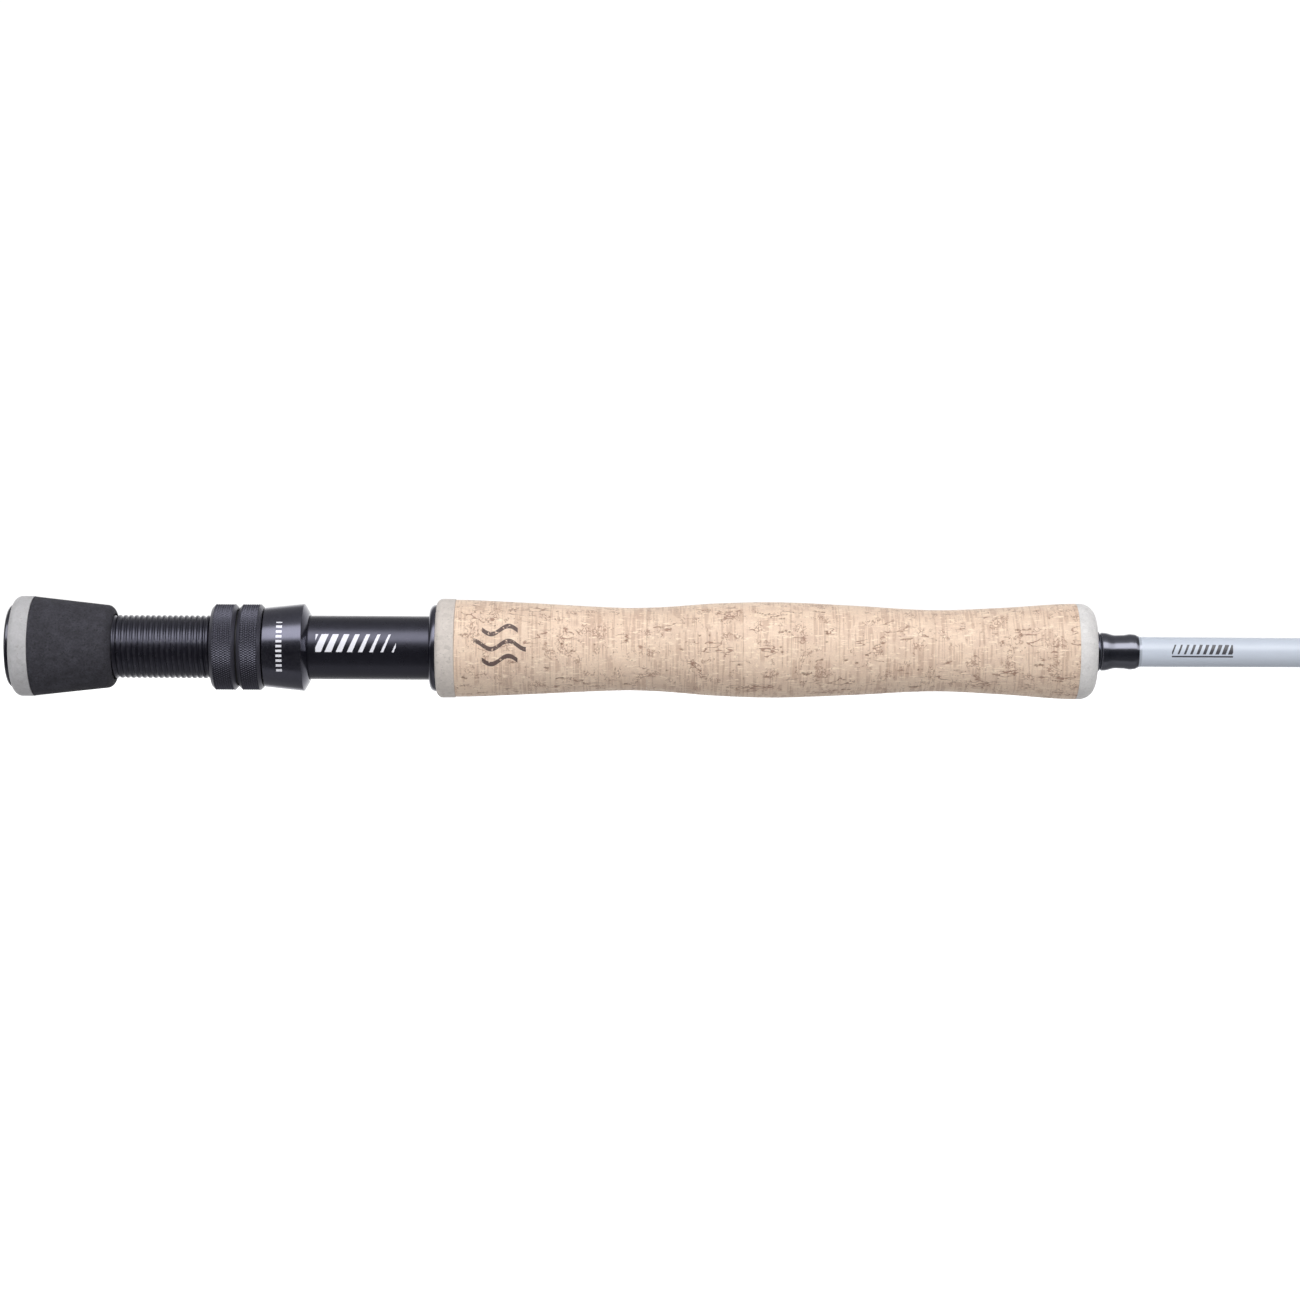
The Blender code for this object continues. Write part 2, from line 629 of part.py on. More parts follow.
# Tip top: a capped tube over the end of the rod, with a loop for the line, and its winding.

tube_start = ROD_LENGTH - TIP_TOP_LENGTH
tube_bore = blank_radius(tube_start) + GLUE
tube_radius = tube_bore + TIP_TOP_WALL
tube_end = ROD_LENGTH + TIP_TOP_OVERHANG
tip_top = turned("tip_top",
                 [(tube_start, tube_radius), (tube_end - TIP_TOP_WALL, tube_radius),
                  (tube_end, tube_bore), (tube_end, TIP_TOP_VENT_RADIUS),
                  (ROD_LENGTH + GAP, TIP_TOP_VENT_RADIUS), (ROD_LENGTH + GAP, tube_bore),
                  (tube_start, tube_bore)],
                 polished_steel, segments=12)
loop_y = tube_radius + TIP_LOOP_RADIUS
loop_x = tube_end - TIP_LOOP_SETBACK
loop_points = [(loop_x, loop_y + TIP_LOOP_RADIUS * math.sin(a), TIP_LOOP_RADIUS * math.cos(a))
               for a in (2 * math.pi * i / 16 for i in range(16))]
loop = wire("tip_loop", loop_points, TIP_WIRE_RADIUS, cyclic=True)
sunk, apart = TIP_STRUT_ROOT
struts = []
for side in (-1, 1):
    root = (tube_start + TIP_STRUT_START, tube_radius - sunk, side * apart)
    struts.append(wire(f"tip_strut_{side}", [root, (loop_x, loop_y, side * TIP_LOOP_RADIUS)],
                       TIP_WIRE_RADIUS))
combine(tip_top, [loop] + struts, "UNION")
follow(tip_top, section_carriers[-1])

winding_end = tube_start - GAP
winding_start = winding_end - TIP_WINDING_LENGTH
winding = turned("tip_winding",
                 [(winding_start, blank_radius(winding_start) + TIP_WINDING_THICKNESS),
                  (winding_end, blank_radius(winding_end) + TIP_WINDING_THICKNESS)]
                 + blank_bore(winding_start, winding_end),
                 winding_resin, segments=12)
follow(winding, section_carriers[-1])

for piece in parts.objects:
    if piece.type == "MESH":
        piece.data.shade_smooth()
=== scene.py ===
"""A nine-foot, four-piece fly rod: fighting butt, reel seat, cork grip, blank, guides and tip top.

The rod lies along +X with the middle of its butt cap at the origin. Lengths are in metres.
"""
import math
import random

import bmesh
import bpy
from mathutils import Matrix, Vector, noise


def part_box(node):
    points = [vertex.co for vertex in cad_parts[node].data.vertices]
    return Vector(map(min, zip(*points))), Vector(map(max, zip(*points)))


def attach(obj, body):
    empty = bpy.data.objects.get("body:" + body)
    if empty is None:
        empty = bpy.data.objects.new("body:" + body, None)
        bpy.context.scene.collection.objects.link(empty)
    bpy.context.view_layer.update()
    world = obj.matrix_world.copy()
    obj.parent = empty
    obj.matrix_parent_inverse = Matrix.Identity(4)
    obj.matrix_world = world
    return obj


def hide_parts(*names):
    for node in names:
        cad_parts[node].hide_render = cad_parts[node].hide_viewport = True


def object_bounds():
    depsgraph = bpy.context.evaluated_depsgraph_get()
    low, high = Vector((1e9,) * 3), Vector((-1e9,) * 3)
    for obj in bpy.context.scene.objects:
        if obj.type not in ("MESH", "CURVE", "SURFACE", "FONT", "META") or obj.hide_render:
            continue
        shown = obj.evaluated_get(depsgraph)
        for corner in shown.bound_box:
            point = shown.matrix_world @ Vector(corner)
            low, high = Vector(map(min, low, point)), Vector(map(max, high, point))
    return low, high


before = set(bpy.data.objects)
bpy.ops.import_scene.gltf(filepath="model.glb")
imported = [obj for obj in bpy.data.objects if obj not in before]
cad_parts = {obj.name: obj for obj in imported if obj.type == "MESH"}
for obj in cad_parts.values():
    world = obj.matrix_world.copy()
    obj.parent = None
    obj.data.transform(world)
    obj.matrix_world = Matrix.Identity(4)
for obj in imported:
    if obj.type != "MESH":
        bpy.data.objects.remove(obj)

cad_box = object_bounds()


# Camera
# It stands level with the rod, square to the grip, with a long lens. A slight roll lets the rod
# fall a little towards its tip.

CAMERA_X = 0.1729
CAMERA_Z = -0.0002
CAMERA_DISTANCE = 0.87
CAMERA_ROLL = math.radians(0.31)
VIEW_WIDTH = 0.3518
SENSOR = 36.0

camera_data = bpy.data.cameras.new("camera")
camera_data.sensor_width = SENSOR
camera_data.lens = SENSOR * CAMERA_DISTANCE / VIEW_WIDTH
camera_data.clip_start = 0.05
camera_data.clip_end = 50.0
camera = bpy.data.objects.new("camera", camera_data)
bpy.context.scene.collection.objects.link(camera)
camera.matrix_world = (Matrix.Translation((CAMERA_X, -CAMERA_DISTANCE, CAMERA_Z))
                       @ Matrix.Rotation(math.radians(90), 4, "X")
                       @ Matrix.Rotation(CAMERA_ROLL, 4, "Z"))
bpy.context.scene.camera = camera
bpy.context.scene.view_settings.view_transform = "Standard"


# Studio light
# A white cyclorama behind the rod and a long soft box above it on the camera's side. Both run along
# the rod, so the light depends on the angle round it and fades towards the rod's two ends.

def add_node(tree, kind, values=None, **settings):
    """A shader node. values sets its inputs by name or number, and a socket given there is linked."""
    made = tree.nodes.new("ShaderNode" + kind)
    for key, value in settings.items():
        setattr(made, key, value)
    for key, value in (values or {}).items():
        if isinstance(value, bpy.types.NodeSocket):
            tree.links.new(value, made.inputs[key])
        else:
            made.inputs[key].default_value = value
    return made


def add_math(tree, operation, *values, clamp=False):
    """A Math node's result. Each value is a number or a socket."""
    made = add_node(tree, "Math", dict(enumerate(values)), operation=operation, use_clamp=clamp)
    return made.outputs[0]


def add_ramp(tree, factor, stops):
    """A Color Ramp's colour. Each stop is (position, grey)."""
    made = add_node(tree, "ValToRGB", {0: factor})
    elements = made.color_ramp.elements
    while len(elements) < len(stops):
        elements.new(1.0)
    for element, (position, _) in zip(elements, stops):
        element.position = position
    for element, (_, grey) in zip(elements, stops):
        element.color = (grey, grey, grey, 1.0)
    return made.outputs[0]


# The angle round the rod in degrees, from behind it, under the rod, past the camera and over the
# top, and the share of STUDIO_STRENGTH that comes from there.
STUDIO_STRENGTH = 3.45
STUDIO = ((-180, 0.40), (-152, 0.30), (-140, 0.09), (-106, 0.08), (-72, 0.10), (-62, 0.035),
          (-23, 0.012), (0, 0.016), (17, 0.07), (28, 0.95), (42, 1.0), (56, 0.9), (66, 0.20),
          (78, 0.12), (99, 0.085), (130, 0.10), (142, 0.16), (155, 0.36), (180, 0.42))
END_FADE = (0.35, 0.95)
END_LIGHT = 0.45
BACKDROP_GLOW = 1.05

world = bpy.data.worlds.new("studio")
bpy.context.scene.world = world
world.use_nodes = True
tree = world.node_tree
tree.nodes.clear()
direction = add_node(tree, "SeparateXYZ", {0: add_node(tree, "TexCoord").outputs["Generated"]})
toward_camera = add_math(tree, "MULTIPLY", direction.outputs["Y"], -1.0)
turn = add_math(tree, "ARCTAN2", direction.outputs["Z"], toward_camera)
brightness = add_ramp(tree, add_math(tree, "MULTIPLY_ADD", turn, 1 / math.tau, 0.5),
                      [((angle + 180) / 360, level) for angle, level in STUDIO])
end_light = add_node(tree, "MapRange", {
    "Value": add_math(tree, "ABSOLUTE", direction.outputs["X"]), "From Min": END_FADE[0],
    "From Max": END_FADE[1], "To Min": 1.0, "To Max": END_LIGHT}).outputs[0]
strength = add_math(tree, "MULTIPLY", end_light, STUDIO_STRENGTH)
studio_light = add_node(tree, "Background", {"Color": brightness, "Strength": strength})
backdrop = add_node(tree, "Background", {"Color": (1, 1, 1, 1), "Strength": BACKDROP_GLOW})
seen_by_camera = add_node(tree, "LightPath").outputs["Is Camera Ray"]
both = add_node(tree, "MixShader", {0: seen_by_camera, 1: studio_light.outputs[0],
                                    2: backdrop.outputs[0]})
tree.links.new(both.outputs[0], add_node(tree, "OutputWorld").inputs["Surface"])

# A bounce from the white table in front of the rod. It softens the shade under the grip and isn't
# seen in the gloss.
BOUNCE_ANGLE = -50
BOUNCE_STRENGTH = 1.3
BOUNCE_SPREAD = math.radians(120)

bounce_data = bpy.data.lights.new("table_bounce", "SUN")
bounce_data.energy = BOUNCE_STRENGTH
bounce_data.angle = BOUNCE_SPREAD
bounce = bpy.data.objects.new("table_bounce", bounce_data)
bpy.context.scene.collection.objects.link(bounce)
bounce.visible_glossy = False
bounce.rotation_euler = (math.radians(90 - BOUNCE_ANGLE), 0, 0)


# Floor
# A plain white sweep that the butt ring stands on. It is lit from within for the camera, as a
# light table is, so that it stays white with only a faint shadow.

FLOOR_SIZE = 30.0
FLOOR_DROP = 0.00005
FLOOR_GLOW = 0.90
FLOOR_COLOUR = (0.42, 0.42, 0.43, 1)

floor_mesh = bpy.data.meshes.new("floor")
floor_x = (cad_box[0][0] + cad_box[1][0]) / 2
floor_z = cad_box[0][2] - FLOOR_DROP
half = FLOOR_SIZE / 2
floor_mesh.from_pydata([(floor_x + sx * half, sy * half, floor_z)
                        for sx, sy in ((-1, -1), (1, -1), (1, 1), (-1, 1))], [], [(0, 1, 2, 3)])
floor = bpy.data.objects.new("floor", floor_mesh)
bpy.context.scene.collection.objects.link(floor)
floor_paint = bpy.data.materials.new("floor_paint")
floor_paint.use_nodes = True
tree = floor_paint.node_tree
tree.nodes.clear()
matt = add_node(tree, "BsdfDiffuse", {"Color": FLOOR_COLOUR})
glow = add_node(tree, "Emission", {"Color": (1, 1, 1, 1), "Strength": FLOOR_GLOW})
lit = add_node(tree, "AddShader", {0: matt.outputs[0], 1: glow.outputs[0]})
seen_by_camera = add_node(tree, "LightPath").outputs["Is Camera Ray"]
both = add_node(tree, "MixShader", {0: seen_by_camera, 1: matt.outputs[0], 2: lit.outputs[0]})
tree.links.new(both.outputs[0], add_node(tree, "OutputMaterial").inputs["Surface"])
floor_mesh.materials.append(floor_paint)
floor.visible_diffuse = False
floor.visible_glossy = False
floor.visible_shadow = False


# Blank
# Four hollow tapered tubes of wrapped carbon fibre, painted pale blue-grey and baked. The butt end
# of each section is a socket that pushes over the tip end of the last.

ROD_LENGTH = 2.7432
SECTION_BODIES = ("butt_section", "section_2", "section_3", "section_4")
BLANK_NODES = ("butt_blank", "mid_blank_1", "mid_blank_2", "tip_blank")
BLANK_SPANS = [(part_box(node)[0].x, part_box(node)[1].x) for node in BLANK_NODES]
FIRST_BLANK_RADIUS = 0.0047
BLANK_RADIUS_STEP = 0.0008
BUTT_RADII = [FIRST_BLANK_RADIUS - BLANK_RADIUS_STEP * section for section in range(4)]
BLANK_WALLS = (0.0010, 0.0008, 0.0007, 0.0005)
FERRULE_DEPTH = 0.055
FERRULE_WALL = 0.00063
FERRULE_END_ROOM = 0.001
SLIP = 0.00008
TIP_RADIUS = 0.00095
BLANK_STEPS = 24
GLUE = 0.00015
BEVEL = 0.00012


def section_at(x):
    """The number of the rod section whose outside is seen at x."""
    return max(s for s in range(4) if s == 0 or BLANK_SPANS[s][0] <= x)


def blank_radius(x, section=None):
    """Outer radius of a rod section at x."""
    if section is None:
        section = section_at(x)
    start, end = BLANK_SPANS[section]
    last = TIP_RADIUS if section == 3 else BUTT_RADII[section + 1] - FERRULE_WALL - SLIP
    return BUTT_RADII[section] + (last - BUTT_RADII[section]) * (x - start) / (end - start)


def add_piece(mesh, material, body, replaces=()):
    """Put a finished mesh in the scene, on its CAD body, in place of its CAD nodes."""
    piece = bpy.data.objects.new(mesh.name, mesh)
    bpy.context.scene.collection.objects.link(piece)
    mesh.materials.append(material)
    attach(piece, body)
    if replaces:
        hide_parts(*replaces)
    return piece


def finish_mesh(mesh, sharp=35):
    """Smooth shading, except across edges sharper than the angle."""
    mesh.shade_smooth()
    mesh.set_sharp_from_angle(angle=math.radians(sharp))
    return mesh


def rounded(outline, size=BEVEL, steps=3):
    """The same outline with its corners eased, as a lathe hand breaks every edge. The ends stay."""
    eased = [outline[0]]
    for before, corner, after in zip(outline, outline[1:], outline[2:]):
        corner = Vector(corner)
        ends = []
        for other in (before, after):
            arm = Vector(other) - corner
            ends.append(corner + arm * min(size / arm.length, 0.45))
        for step in range(steps + 1):
            t = step / steps
            eased.append(tuple(ends[0] * (1 - t) ** 2 + corner * 2 * t * (1 - t) + ends[1] * t ** 2))
    return eased + [outline[-1]]


def turned(name, outside, bore=(), segments=96, relief=None, axis_y=0.0, marks=None, close=True):
    """A mesh turned about a line along X. Points are (x, radius): outside runs towards the tip and
    bore runs back. With no bore, outside starts and ends on the axis. relief(x, angle) moves the
    outside in or out, and what marks(x, angle) gives is kept on its points as an attribute."""
    points, rings, values = [], [], []
    for number, (x, radius) in enumerate(list(outside) + list(bore)):
        is_outside = number < len(outside)
        rings.append([])
        for step in range(segments if radius > 0 else 1):
            angle = math.tau * step / segments
            shift = relief(x, angle) if relief and is_outside else 0.0
            values.append(marks(x, angle) if marks and is_outside else 0.0)
            rings[-1].append(len(points))
            points.append((x, axis_y + (radius + shift) * math.cos(angle),
                           (radius + shift) * math.sin(angle)))
    pairs = list(zip(rings, rings[1:]))
    if bore and close:
        pairs.append((rings[-1], rings[0]))
    faces = []
    for near, far in pairs:
        for step in range(segments):
            corners = (near[step % len(near)], near[(step + 1) % len(near)],
                       far[(step + 1) % len(far)], far[step % len(far)])
            faces.append(tuple(dict.fromkeys(corners)))
    mesh = bpy.data.meshes.new(name)
    mesh.from_pydata(points, [], [face[::-1] for face in faces])
    if marks:
        mesh.attributes.new("mark", "FLOAT", "POINT").data.foreach_set("value", values)
    return finish_mesh(mesh)


def new_material(name, **values):
    """A Principled material, and its tree and shader. A value's name has _ for each space."""
    material = bpy.data.materials.new(name)
    material.use_nodes = True
    shader = material.node_tree.nodes["Principled BSDF"]
    for key, value in values.items():
        shader.inputs[key.replace("_", " ")].default_value = value
    return material, material.node_tree, shader


def new_group(name, inputs, outputs):
    """An empty shader node group: (tree, its inputs, its output node). inputs maps a name to its value."""
    group = bpy.data.node_groups.new(name, "ShaderNodeTree")
    for label, value in inputs.items():
        kind = "NodeSocketColor" if isinstance(value, tuple) else "NodeSocketFloat"
        group.interface.new_socket(label, in_out="INPUT", socket_type=kind).default_value = value
    for label in outputs:
        group.interface.new_socket(label, in_out="OUTPUT", socket_type="NodeSocketFloat")
    return group, group.nodes.new("NodeGroupInput").outputs, group.nodes.new("NodeGroupOutput")


def place_group(tree, group, **values):
    """Put a node group in a material, with its own values. A value's name has _ for each space."""
    made = add_node(tree, "Group", node_tree=group)
    for key, value in values.items():
        made.inputs[key.replace("_", " ")].default_value = value
    return made.outputs


def mix(tree, factor, first, second, blend="MIX"):
    """Two colours mixed. Each is a socket or (r, g, b)."""
    made = add_node(tree, "Mix", data_type="RGBA", blend_type=blend)
    for key, value in ((0, factor), (6, first), (7, second)):
        if isinstance(value, bpy.types.NodeSocket):
            tree.links.new(value, made.inputs[key])
        else:
            made.inputs[key].default_value = (*value, 1.0) if isinstance(value, tuple) else value
    return made.outputs[2]


def shaded(tree, colour, level):
    """A colour made lighter or darker by a level round 1."""
    return mix(tree, 1.0, colour, level, "MULTIPLY")


def tinted(tree, colour, mask, share, other):
    """A colour turned towards another by a share, where the mask is."""
    return mix(tree, add_math(tree, "MULTIPLY", mask, share, clamp=True), colour, other)


def add_bump(tree, shader, height, distance, strength=1.0):
    """Give the surface a relief that is too fine to model."""
    bump = add_node(tree, "Bump", {"Height": height, "Distance": distance, "Strength": strength})
    tree.links.new(bump.outputs[0], shader.inputs["Normal"])


def object_xyz(tree):
    """A point's X, Y and Z on the rod, in metres."""
    return add_node(tree, "SeparateXYZ", {0: add_node(tree, "TexCoord").outputs["Object"]}).outputs


# Mottle: soft uneven tone over a surface, from Low to High, in patches of Size along X and Size
# times Aspect across it. Shift gives another pattern of the same kind.
mottle, given, result = new_group(
    "mottle", {"Size": 0.005, "Aspect": 1.0, "Detail": 3.0, "Low": 0.9, "High": 1.1, "Shift": 0.0},
    ["Value"])
place = add_node(mottle, "TexCoord").outputs["Object"]
place = add_node(mottle, "VectorMath", {0: place, 1: given["Shift"]}, operation="ADD").outputs[0]
place = add_node(mottle, "SeparateXYZ", {0: place})
along = add_math(mottle, "DIVIDE", place.outputs[0], given["Size"])
across_size = add_math(mottle, "MULTIPLY", given["Size"], given["Aspect"])
cells = add_node(mottle, "CombineXYZ", {0: along,
                                        1: add_math(mottle, "DIVIDE", place.outputs[1], across_size),
                                        2: add_math(mottle, "DIVIDE", place.outputs[2], across_size)})
cloud = add_node(mottle, "TexNoise", {"Vector": cells.outputs[0], "Scale": 1.0,
                                      "Detail": given["Detail"], "Roughness": 0.6})
level = add_node(mottle, "MapRange", {"Value": cloud.outputs[0], "From Min": 0.3, "From Max": 0.7,
                                      "To Min": given["Low"], "To Max": given["High"]})
mottle.links.new(level.outputs[0], result.inputs["Value"])


def vary_roughness(tree, shader, **values):
    """Make the gloss uneven."""
    level = place_group(tree, mottle, **values)[0]
    tree.links.new(level, shader.inputs["Roughness"])
    return level


# Wear: a mask of the proud edges, broken up so that it looks rubbed and not outlined.
FLAT = 0.515  # pointiness of a flat face, with a little to spare

wear, given, result = new_group("edge wear", {"Size": 0.002, "Reach": 0.08}, ["Mask"])
proud = add_node(wear, "MapRange", {
    "Value": add_node(wear, "NewGeometry").outputs["Pointiness"], "From Min": FLAT,
    "From Max": add_math(wear, "ADD", given["Reach"], FLAT)})
inverse = add_math(wear, "DIVIDE", 1.0, given["Size"])
rub = add_node(wear, "TexNoise", {"Vector": add_node(wear, "TexCoord").outputs["Object"],
                                  "Scale": inverse, "Detail": 4.0})
rubbed = add_node(wear, "MapRange", {"Value": rub.outputs[0], "From Min": 0.42, "From Max": 0.62})
wear.links.new(add_math(wear, "MULTIPLY", proud.outputs[0], rubbed.outputs[0]), result.inputs["Mask"])

# Stripe: a mask of a box from Start to End along X and from Bottom to Top on the side away from
# the reel, for printed and engraved marks.
stripe, given, result = new_group(
    "printed bar", {"Start": 0.0, "End": 0.01, "Bottom": -0.001, "Top": 0.001}, ["Mask"])
x, y, z = object_xyz(stripe)
inside = [add_math(stripe, "GREATER_THAN", x, given["Start"]),
          add_math(stripe, "LESS_THAN", x, given["End"]),
          add_math(stripe, "GREATER_THAN", z, given["Bottom"]),
          add_math(stripe, "LESS_THAN", z, given["Top"]),
          add_math(stripe, "LESS_THAN", y, 0.0)]
mask = inside[0]
for other in inside[1:]:
    mask = add_math(stripe, "MULTIPLY", mask, other)
stripe.links.new(mask, result.inputs["Mask"])

# Slanted bars: a mask of a row of bars inside such a box. Each bar takes up a share of Pitch, which
# goes from First to Last along the row.
slanted_bars, given, result = new_group(
    "slanted bars", {"Start": 0.0, "End": 0.01, "Bottom": -0.001, "Top": 0.001, "Pitch": 0.002,
                     "Slant": 0.4, "First": 0.6, "Last": 0.3}, ["Mask"])
x, _, z = object_xyz(slanted_bars)
box_mask = add_node(slanted_bars, "Group", node_tree=stripe)
for label in ("Start", "End", "Bottom", "Top"):
    slanted_bars.links.new(given[label], box_mask.inputs[label])
lean = add_math(slanted_bars, "MULTIPLY", z, given["Slant"])
run = add_math(slanted_bars, "SUBTRACT", add_math(slanted_bars, "SUBTRACT", x, lean), given["Start"])
phase = add_math(slanted_bars, "FRACT", add_math(slanted_bars, "DIVIDE", run, given["Pitch"]))
share = add_node(slanted_bars, "MapRange", {"Value": x, "From Min": given["Start"],
                                            "From Max": given["End"], "To Min": given["First"],
                                            "To Max": given["Last"]})
bars = add_math(slanted_bars, "LESS_THAN", phase, share.outputs[0])
slanted_bars.links.new(add_math(slanted_bars, "MULTIPLY", bars, box_mask.outputs[0]),
                       result.inputs["Mask"])

BLANK_COLOUR = (0.55, 0.60, 0.69)
BLANK_INK = (0.055, 0.055, 0.065)
BLANK_MARK = (0.3135, 0.3300)

blank_paint, tree, shader = new_material("blank_paint", Roughness=0.36, Coat_Weight=0.35,
                                         Coat_Roughness=0.22)
tone = place_group(tree, mottle, Size=0.012, Aspect=0.4, Detail=4.0, Low=0.975, High=1.02)[0]
grain = place_group(tree, mottle, Size=0.00035, Detail=2.0, Low=0.985, High=1.015)[0]
colour = shaded(tree, BLANK_COLOUR, add_math(tree, "MULTIPLY", tone, grain))
mark = place_group(tree, slanted_bars, Start=BLANK_MARK[0], End=BLANK_MARK[1], Bottom=-0.0006,
                   Top=0.0020, Pitch=0.0017, Slant=0.4, First=0.25, Last=0.7)[0]
line = place_group(tree, stripe, Start=BLANK_MARK[0], End=BLANK_MARK[1], Bottom=-0.0014,
                   Top=-0.0010)[0]
colour = mix(tree, add_math(tree, "MAXIMUM", mark, line), colour, BLANK_INK)
tree.links.new(colour, shader.inputs["Base Color"])
vary_roughness(tree, shader, Size=0.003, Detail=3.0, Low=0.30, High=0.42)
orange_peel = place_group(tree, mottle, Size=0.0016, Detail=1.0, Low=0.0, High=1.0)[0]
add_bump(tree, shader, orange_peel, 0.00001)

for section, (node, body) in enumerate(zip(BLANK_NODES, SECTION_BODIES)):
    start, end = BLANK_SPANS[section]
    wall = BLANK_WALLS[section]
    stations = [start + (end - start) * step / BLANK_STEPS for step in range(BLANK_STEPS + 1)]
    outside = [(x, blank_radius(x, section)) for x in stations]
    bore = [(end, outside[-1][1] - wall)]
    if section:
        socket = start + FERRULE_DEPTH + FERRULE_END_ROOM
        bore += [(socket, blank_radius(socket, section) - wall),
                 (socket, blank_radius(socket, section - 1) + SLIP),
                 (start, blank_radius(start, section - 1) + SLIP)]
    else:
        bore += [(start, outside[0][1] - wall)]
    mesh = turned(f"{node}_tube", outside, bore, segments=64)
    add_piece(mesh, blank_paint, body, [node])


# Butt cap
# A turned and gloss-lacquered aluminium disc with a plug that glues into the end of the blank. Its
# face is dished a little and its rim is bevelled.

CAP_RADIUS = 0.0111
CAP_PLUG_RADIUS = 0.0034
CAP_PLUG_END = 0.016
CAP_THICKNESS = 0.0026
CAP_BEVEL = 0.0005
CAP_DISH = 0.0005
DISH_SHARES = (0.62, 0.70)  # of the cap's radius, where the dish's floor ends and where its slope ends
CAP_COLOUR = (0.007, 0.007, 0.011)
CAP_WORN = (0.20, 0.20, 0.22)

cap_gloss, tree, shader = new_material("cap_gloss", IOR=1.9, Specular_Tint=(0.85, 0.85, 1.0, 1.0))
rubbed = place_group(tree, wear, Size=0.0012)[0]
tree.links.new(tinted(tree, CAP_COLOUR, rubbed, 0.4, CAP_WORN), shader.inputs["Base Color"])
vary_roughness(tree, shader, Size=0.002, Detail=5.0, Low=0.10, High=0.20)
ripple = place_group(tree, mottle, Size=0.0006, Detail=1.0, Low=0.0, High=1.0)[0]
add_bump(tree, shader, ripple, 0.000004)

cap_outline = [(CAP_DISH, 0), (CAP_DISH, CAP_RADIUS * DISH_SHARES[0]), (0.0, CAP_RADIUS * DISH_SHARES[1]),
               (0.0, CAP_RADIUS - CAP_BEVEL), (CAP_BEVEL, CAP_RADIUS), (CAP_THICKNESS, CAP_RADIUS),
               (CAP_THICKNESS, CAP_PLUG_RADIUS), (CAP_PLUG_END, CAP_PLUG_RADIUS), (CAP_PLUG_END, 0)]
mesh = turned("butt_cap_disc", rounded(cap_outline))
add_piece(mesh, cap_gloss, "butt_section", ["butt_cap"])


# Butt ring
# Cork granules and grey rubber pressed together and turned round. It takes the knocks when the rod
# is stood on its end, and is glued between the cap and the foam.

BUTT_RING_START = 0.0012
BUTT_RING_END = 0.00655
BUTT_RING_RADIUS = 0.0135
BUTT_RING_CORNER = 0.0022
CAP_SEAT = 0.0029
BUTT_RING_COLOUR = (0.455, 0.45, 0.465)
DARK_GRANULE = (0.25, 0.23, 0.22)


def arc(centre_x, centre_r, radius, start, end, steps):
    """Outline points round a corner. Angles are in degrees, from +X towards larger radii."""
    turns = [math.radians(start + (end - start) * step / steps) for step in range(steps + 1)]
    return [(centre_x + radius * math.cos(a), centre_r + radius * math.sin(a)) for a in turns]


# Granules: a random level for each granule of about Size, and masks of the few that are darker and of
# the seams between them.
granules, given, result = new_group(
    "granules", {"Size": 0.0008, "Low": 0.9, "High": 1.05, "Dark Share": 0.06},
    ["Value", "Dark", "Seam"])
spot = add_node(granules, "TexCoord").outputs["Object"]
bend = add_node(granules, "TexNoise", {"Vector": spot, "Scale": 1500.0, "Detail": 2.0})
shifted = add_node(granules, "VectorMath", {0: bend.outputs["Color"], "Scale": 0.0004}, operation="SCALE")
spot = add_node(granules, "VectorMath", {0: spot, 1: shifted.outputs[0]}, operation="ADD").outputs[0]
inverse = add_math(granules, "DIVIDE", 1.0, given["Size"])
grains = add_node(granules, "TexVoronoi", {"Vector": spot, "Scale": inverse})
chance = add_node(granules, "SeparateColor", {0: grains.outputs["Color"]})
level = add_node(granules, "MapRange", {"Value": chance.outputs[0], "To Min": given["Low"],
                                        "To Max": given["High"]})
granules.links.new(level.outputs[0], result.inputs["Value"])
granules.links.new(add_math(granules, "LESS_THAN", chance.outputs[1], given["Dark Share"]),
                   result.inputs["Dark"])
edges = add_node(granules, "TexVoronoi", {"Vector": spot, "Scale": inverse}, feature="DISTANCE_TO_EDGE")
seam = add_node(granules, "MapRange", {"Value": edges.outputs["Distance"], "From Max": 0.12,
                                       "To Min": 1.0, "To Max": 0.0})
granules.links.new(seam.outputs[0], result.inputs["Seam"])


def make_rubber_cork(name, pale, speckle=1.0):
    """Rubber-cork of a pale base colour, with coarse and fine granules. speckle is the strength of
    the dark ones."""
    material, tree, shader = new_material(name, Roughness=0.72, Sheen_Weight=0.2, Sheen_Roughness=0.5)
    coarse = place_group(tree, granules, Size=0.0011, Low=0.95, High=1.04, Dark_Share=0.05)
    fine = place_group(tree, granules, Size=0.0004, Low=0.95, High=1.04, Dark_Share=0.04)
    tone = place_group(tree, mottle, Size=0.004, Detail=3.0, Low=0.96, High=1.04)[0]
    level = add_math(tree, "MULTIPLY", add_math(tree, "MULTIPLY", coarse["Value"], fine["Value"]), tone)
    colour = shaded(tree, pale, level)
    for mask, share in ((coarse["Dark"], 0.16), (fine["Dark"], 0.30), (coarse["Seam"], 0.05)):
        colour = tinted(tree, colour, mask, share * speckle, DARK_GRANULE)
    tree.links.new(colour, shader.inputs["Base Color"])
    height = add_math(tree, "SUBTRACT", add_math(tree, "MULTIPLY", fine["Value"], 1.5),
                      add_math(tree, "MULTIPLY", coarse["Seam"], 0.2))
    add_bump(tree, shader, height, 0.00006)
    return material


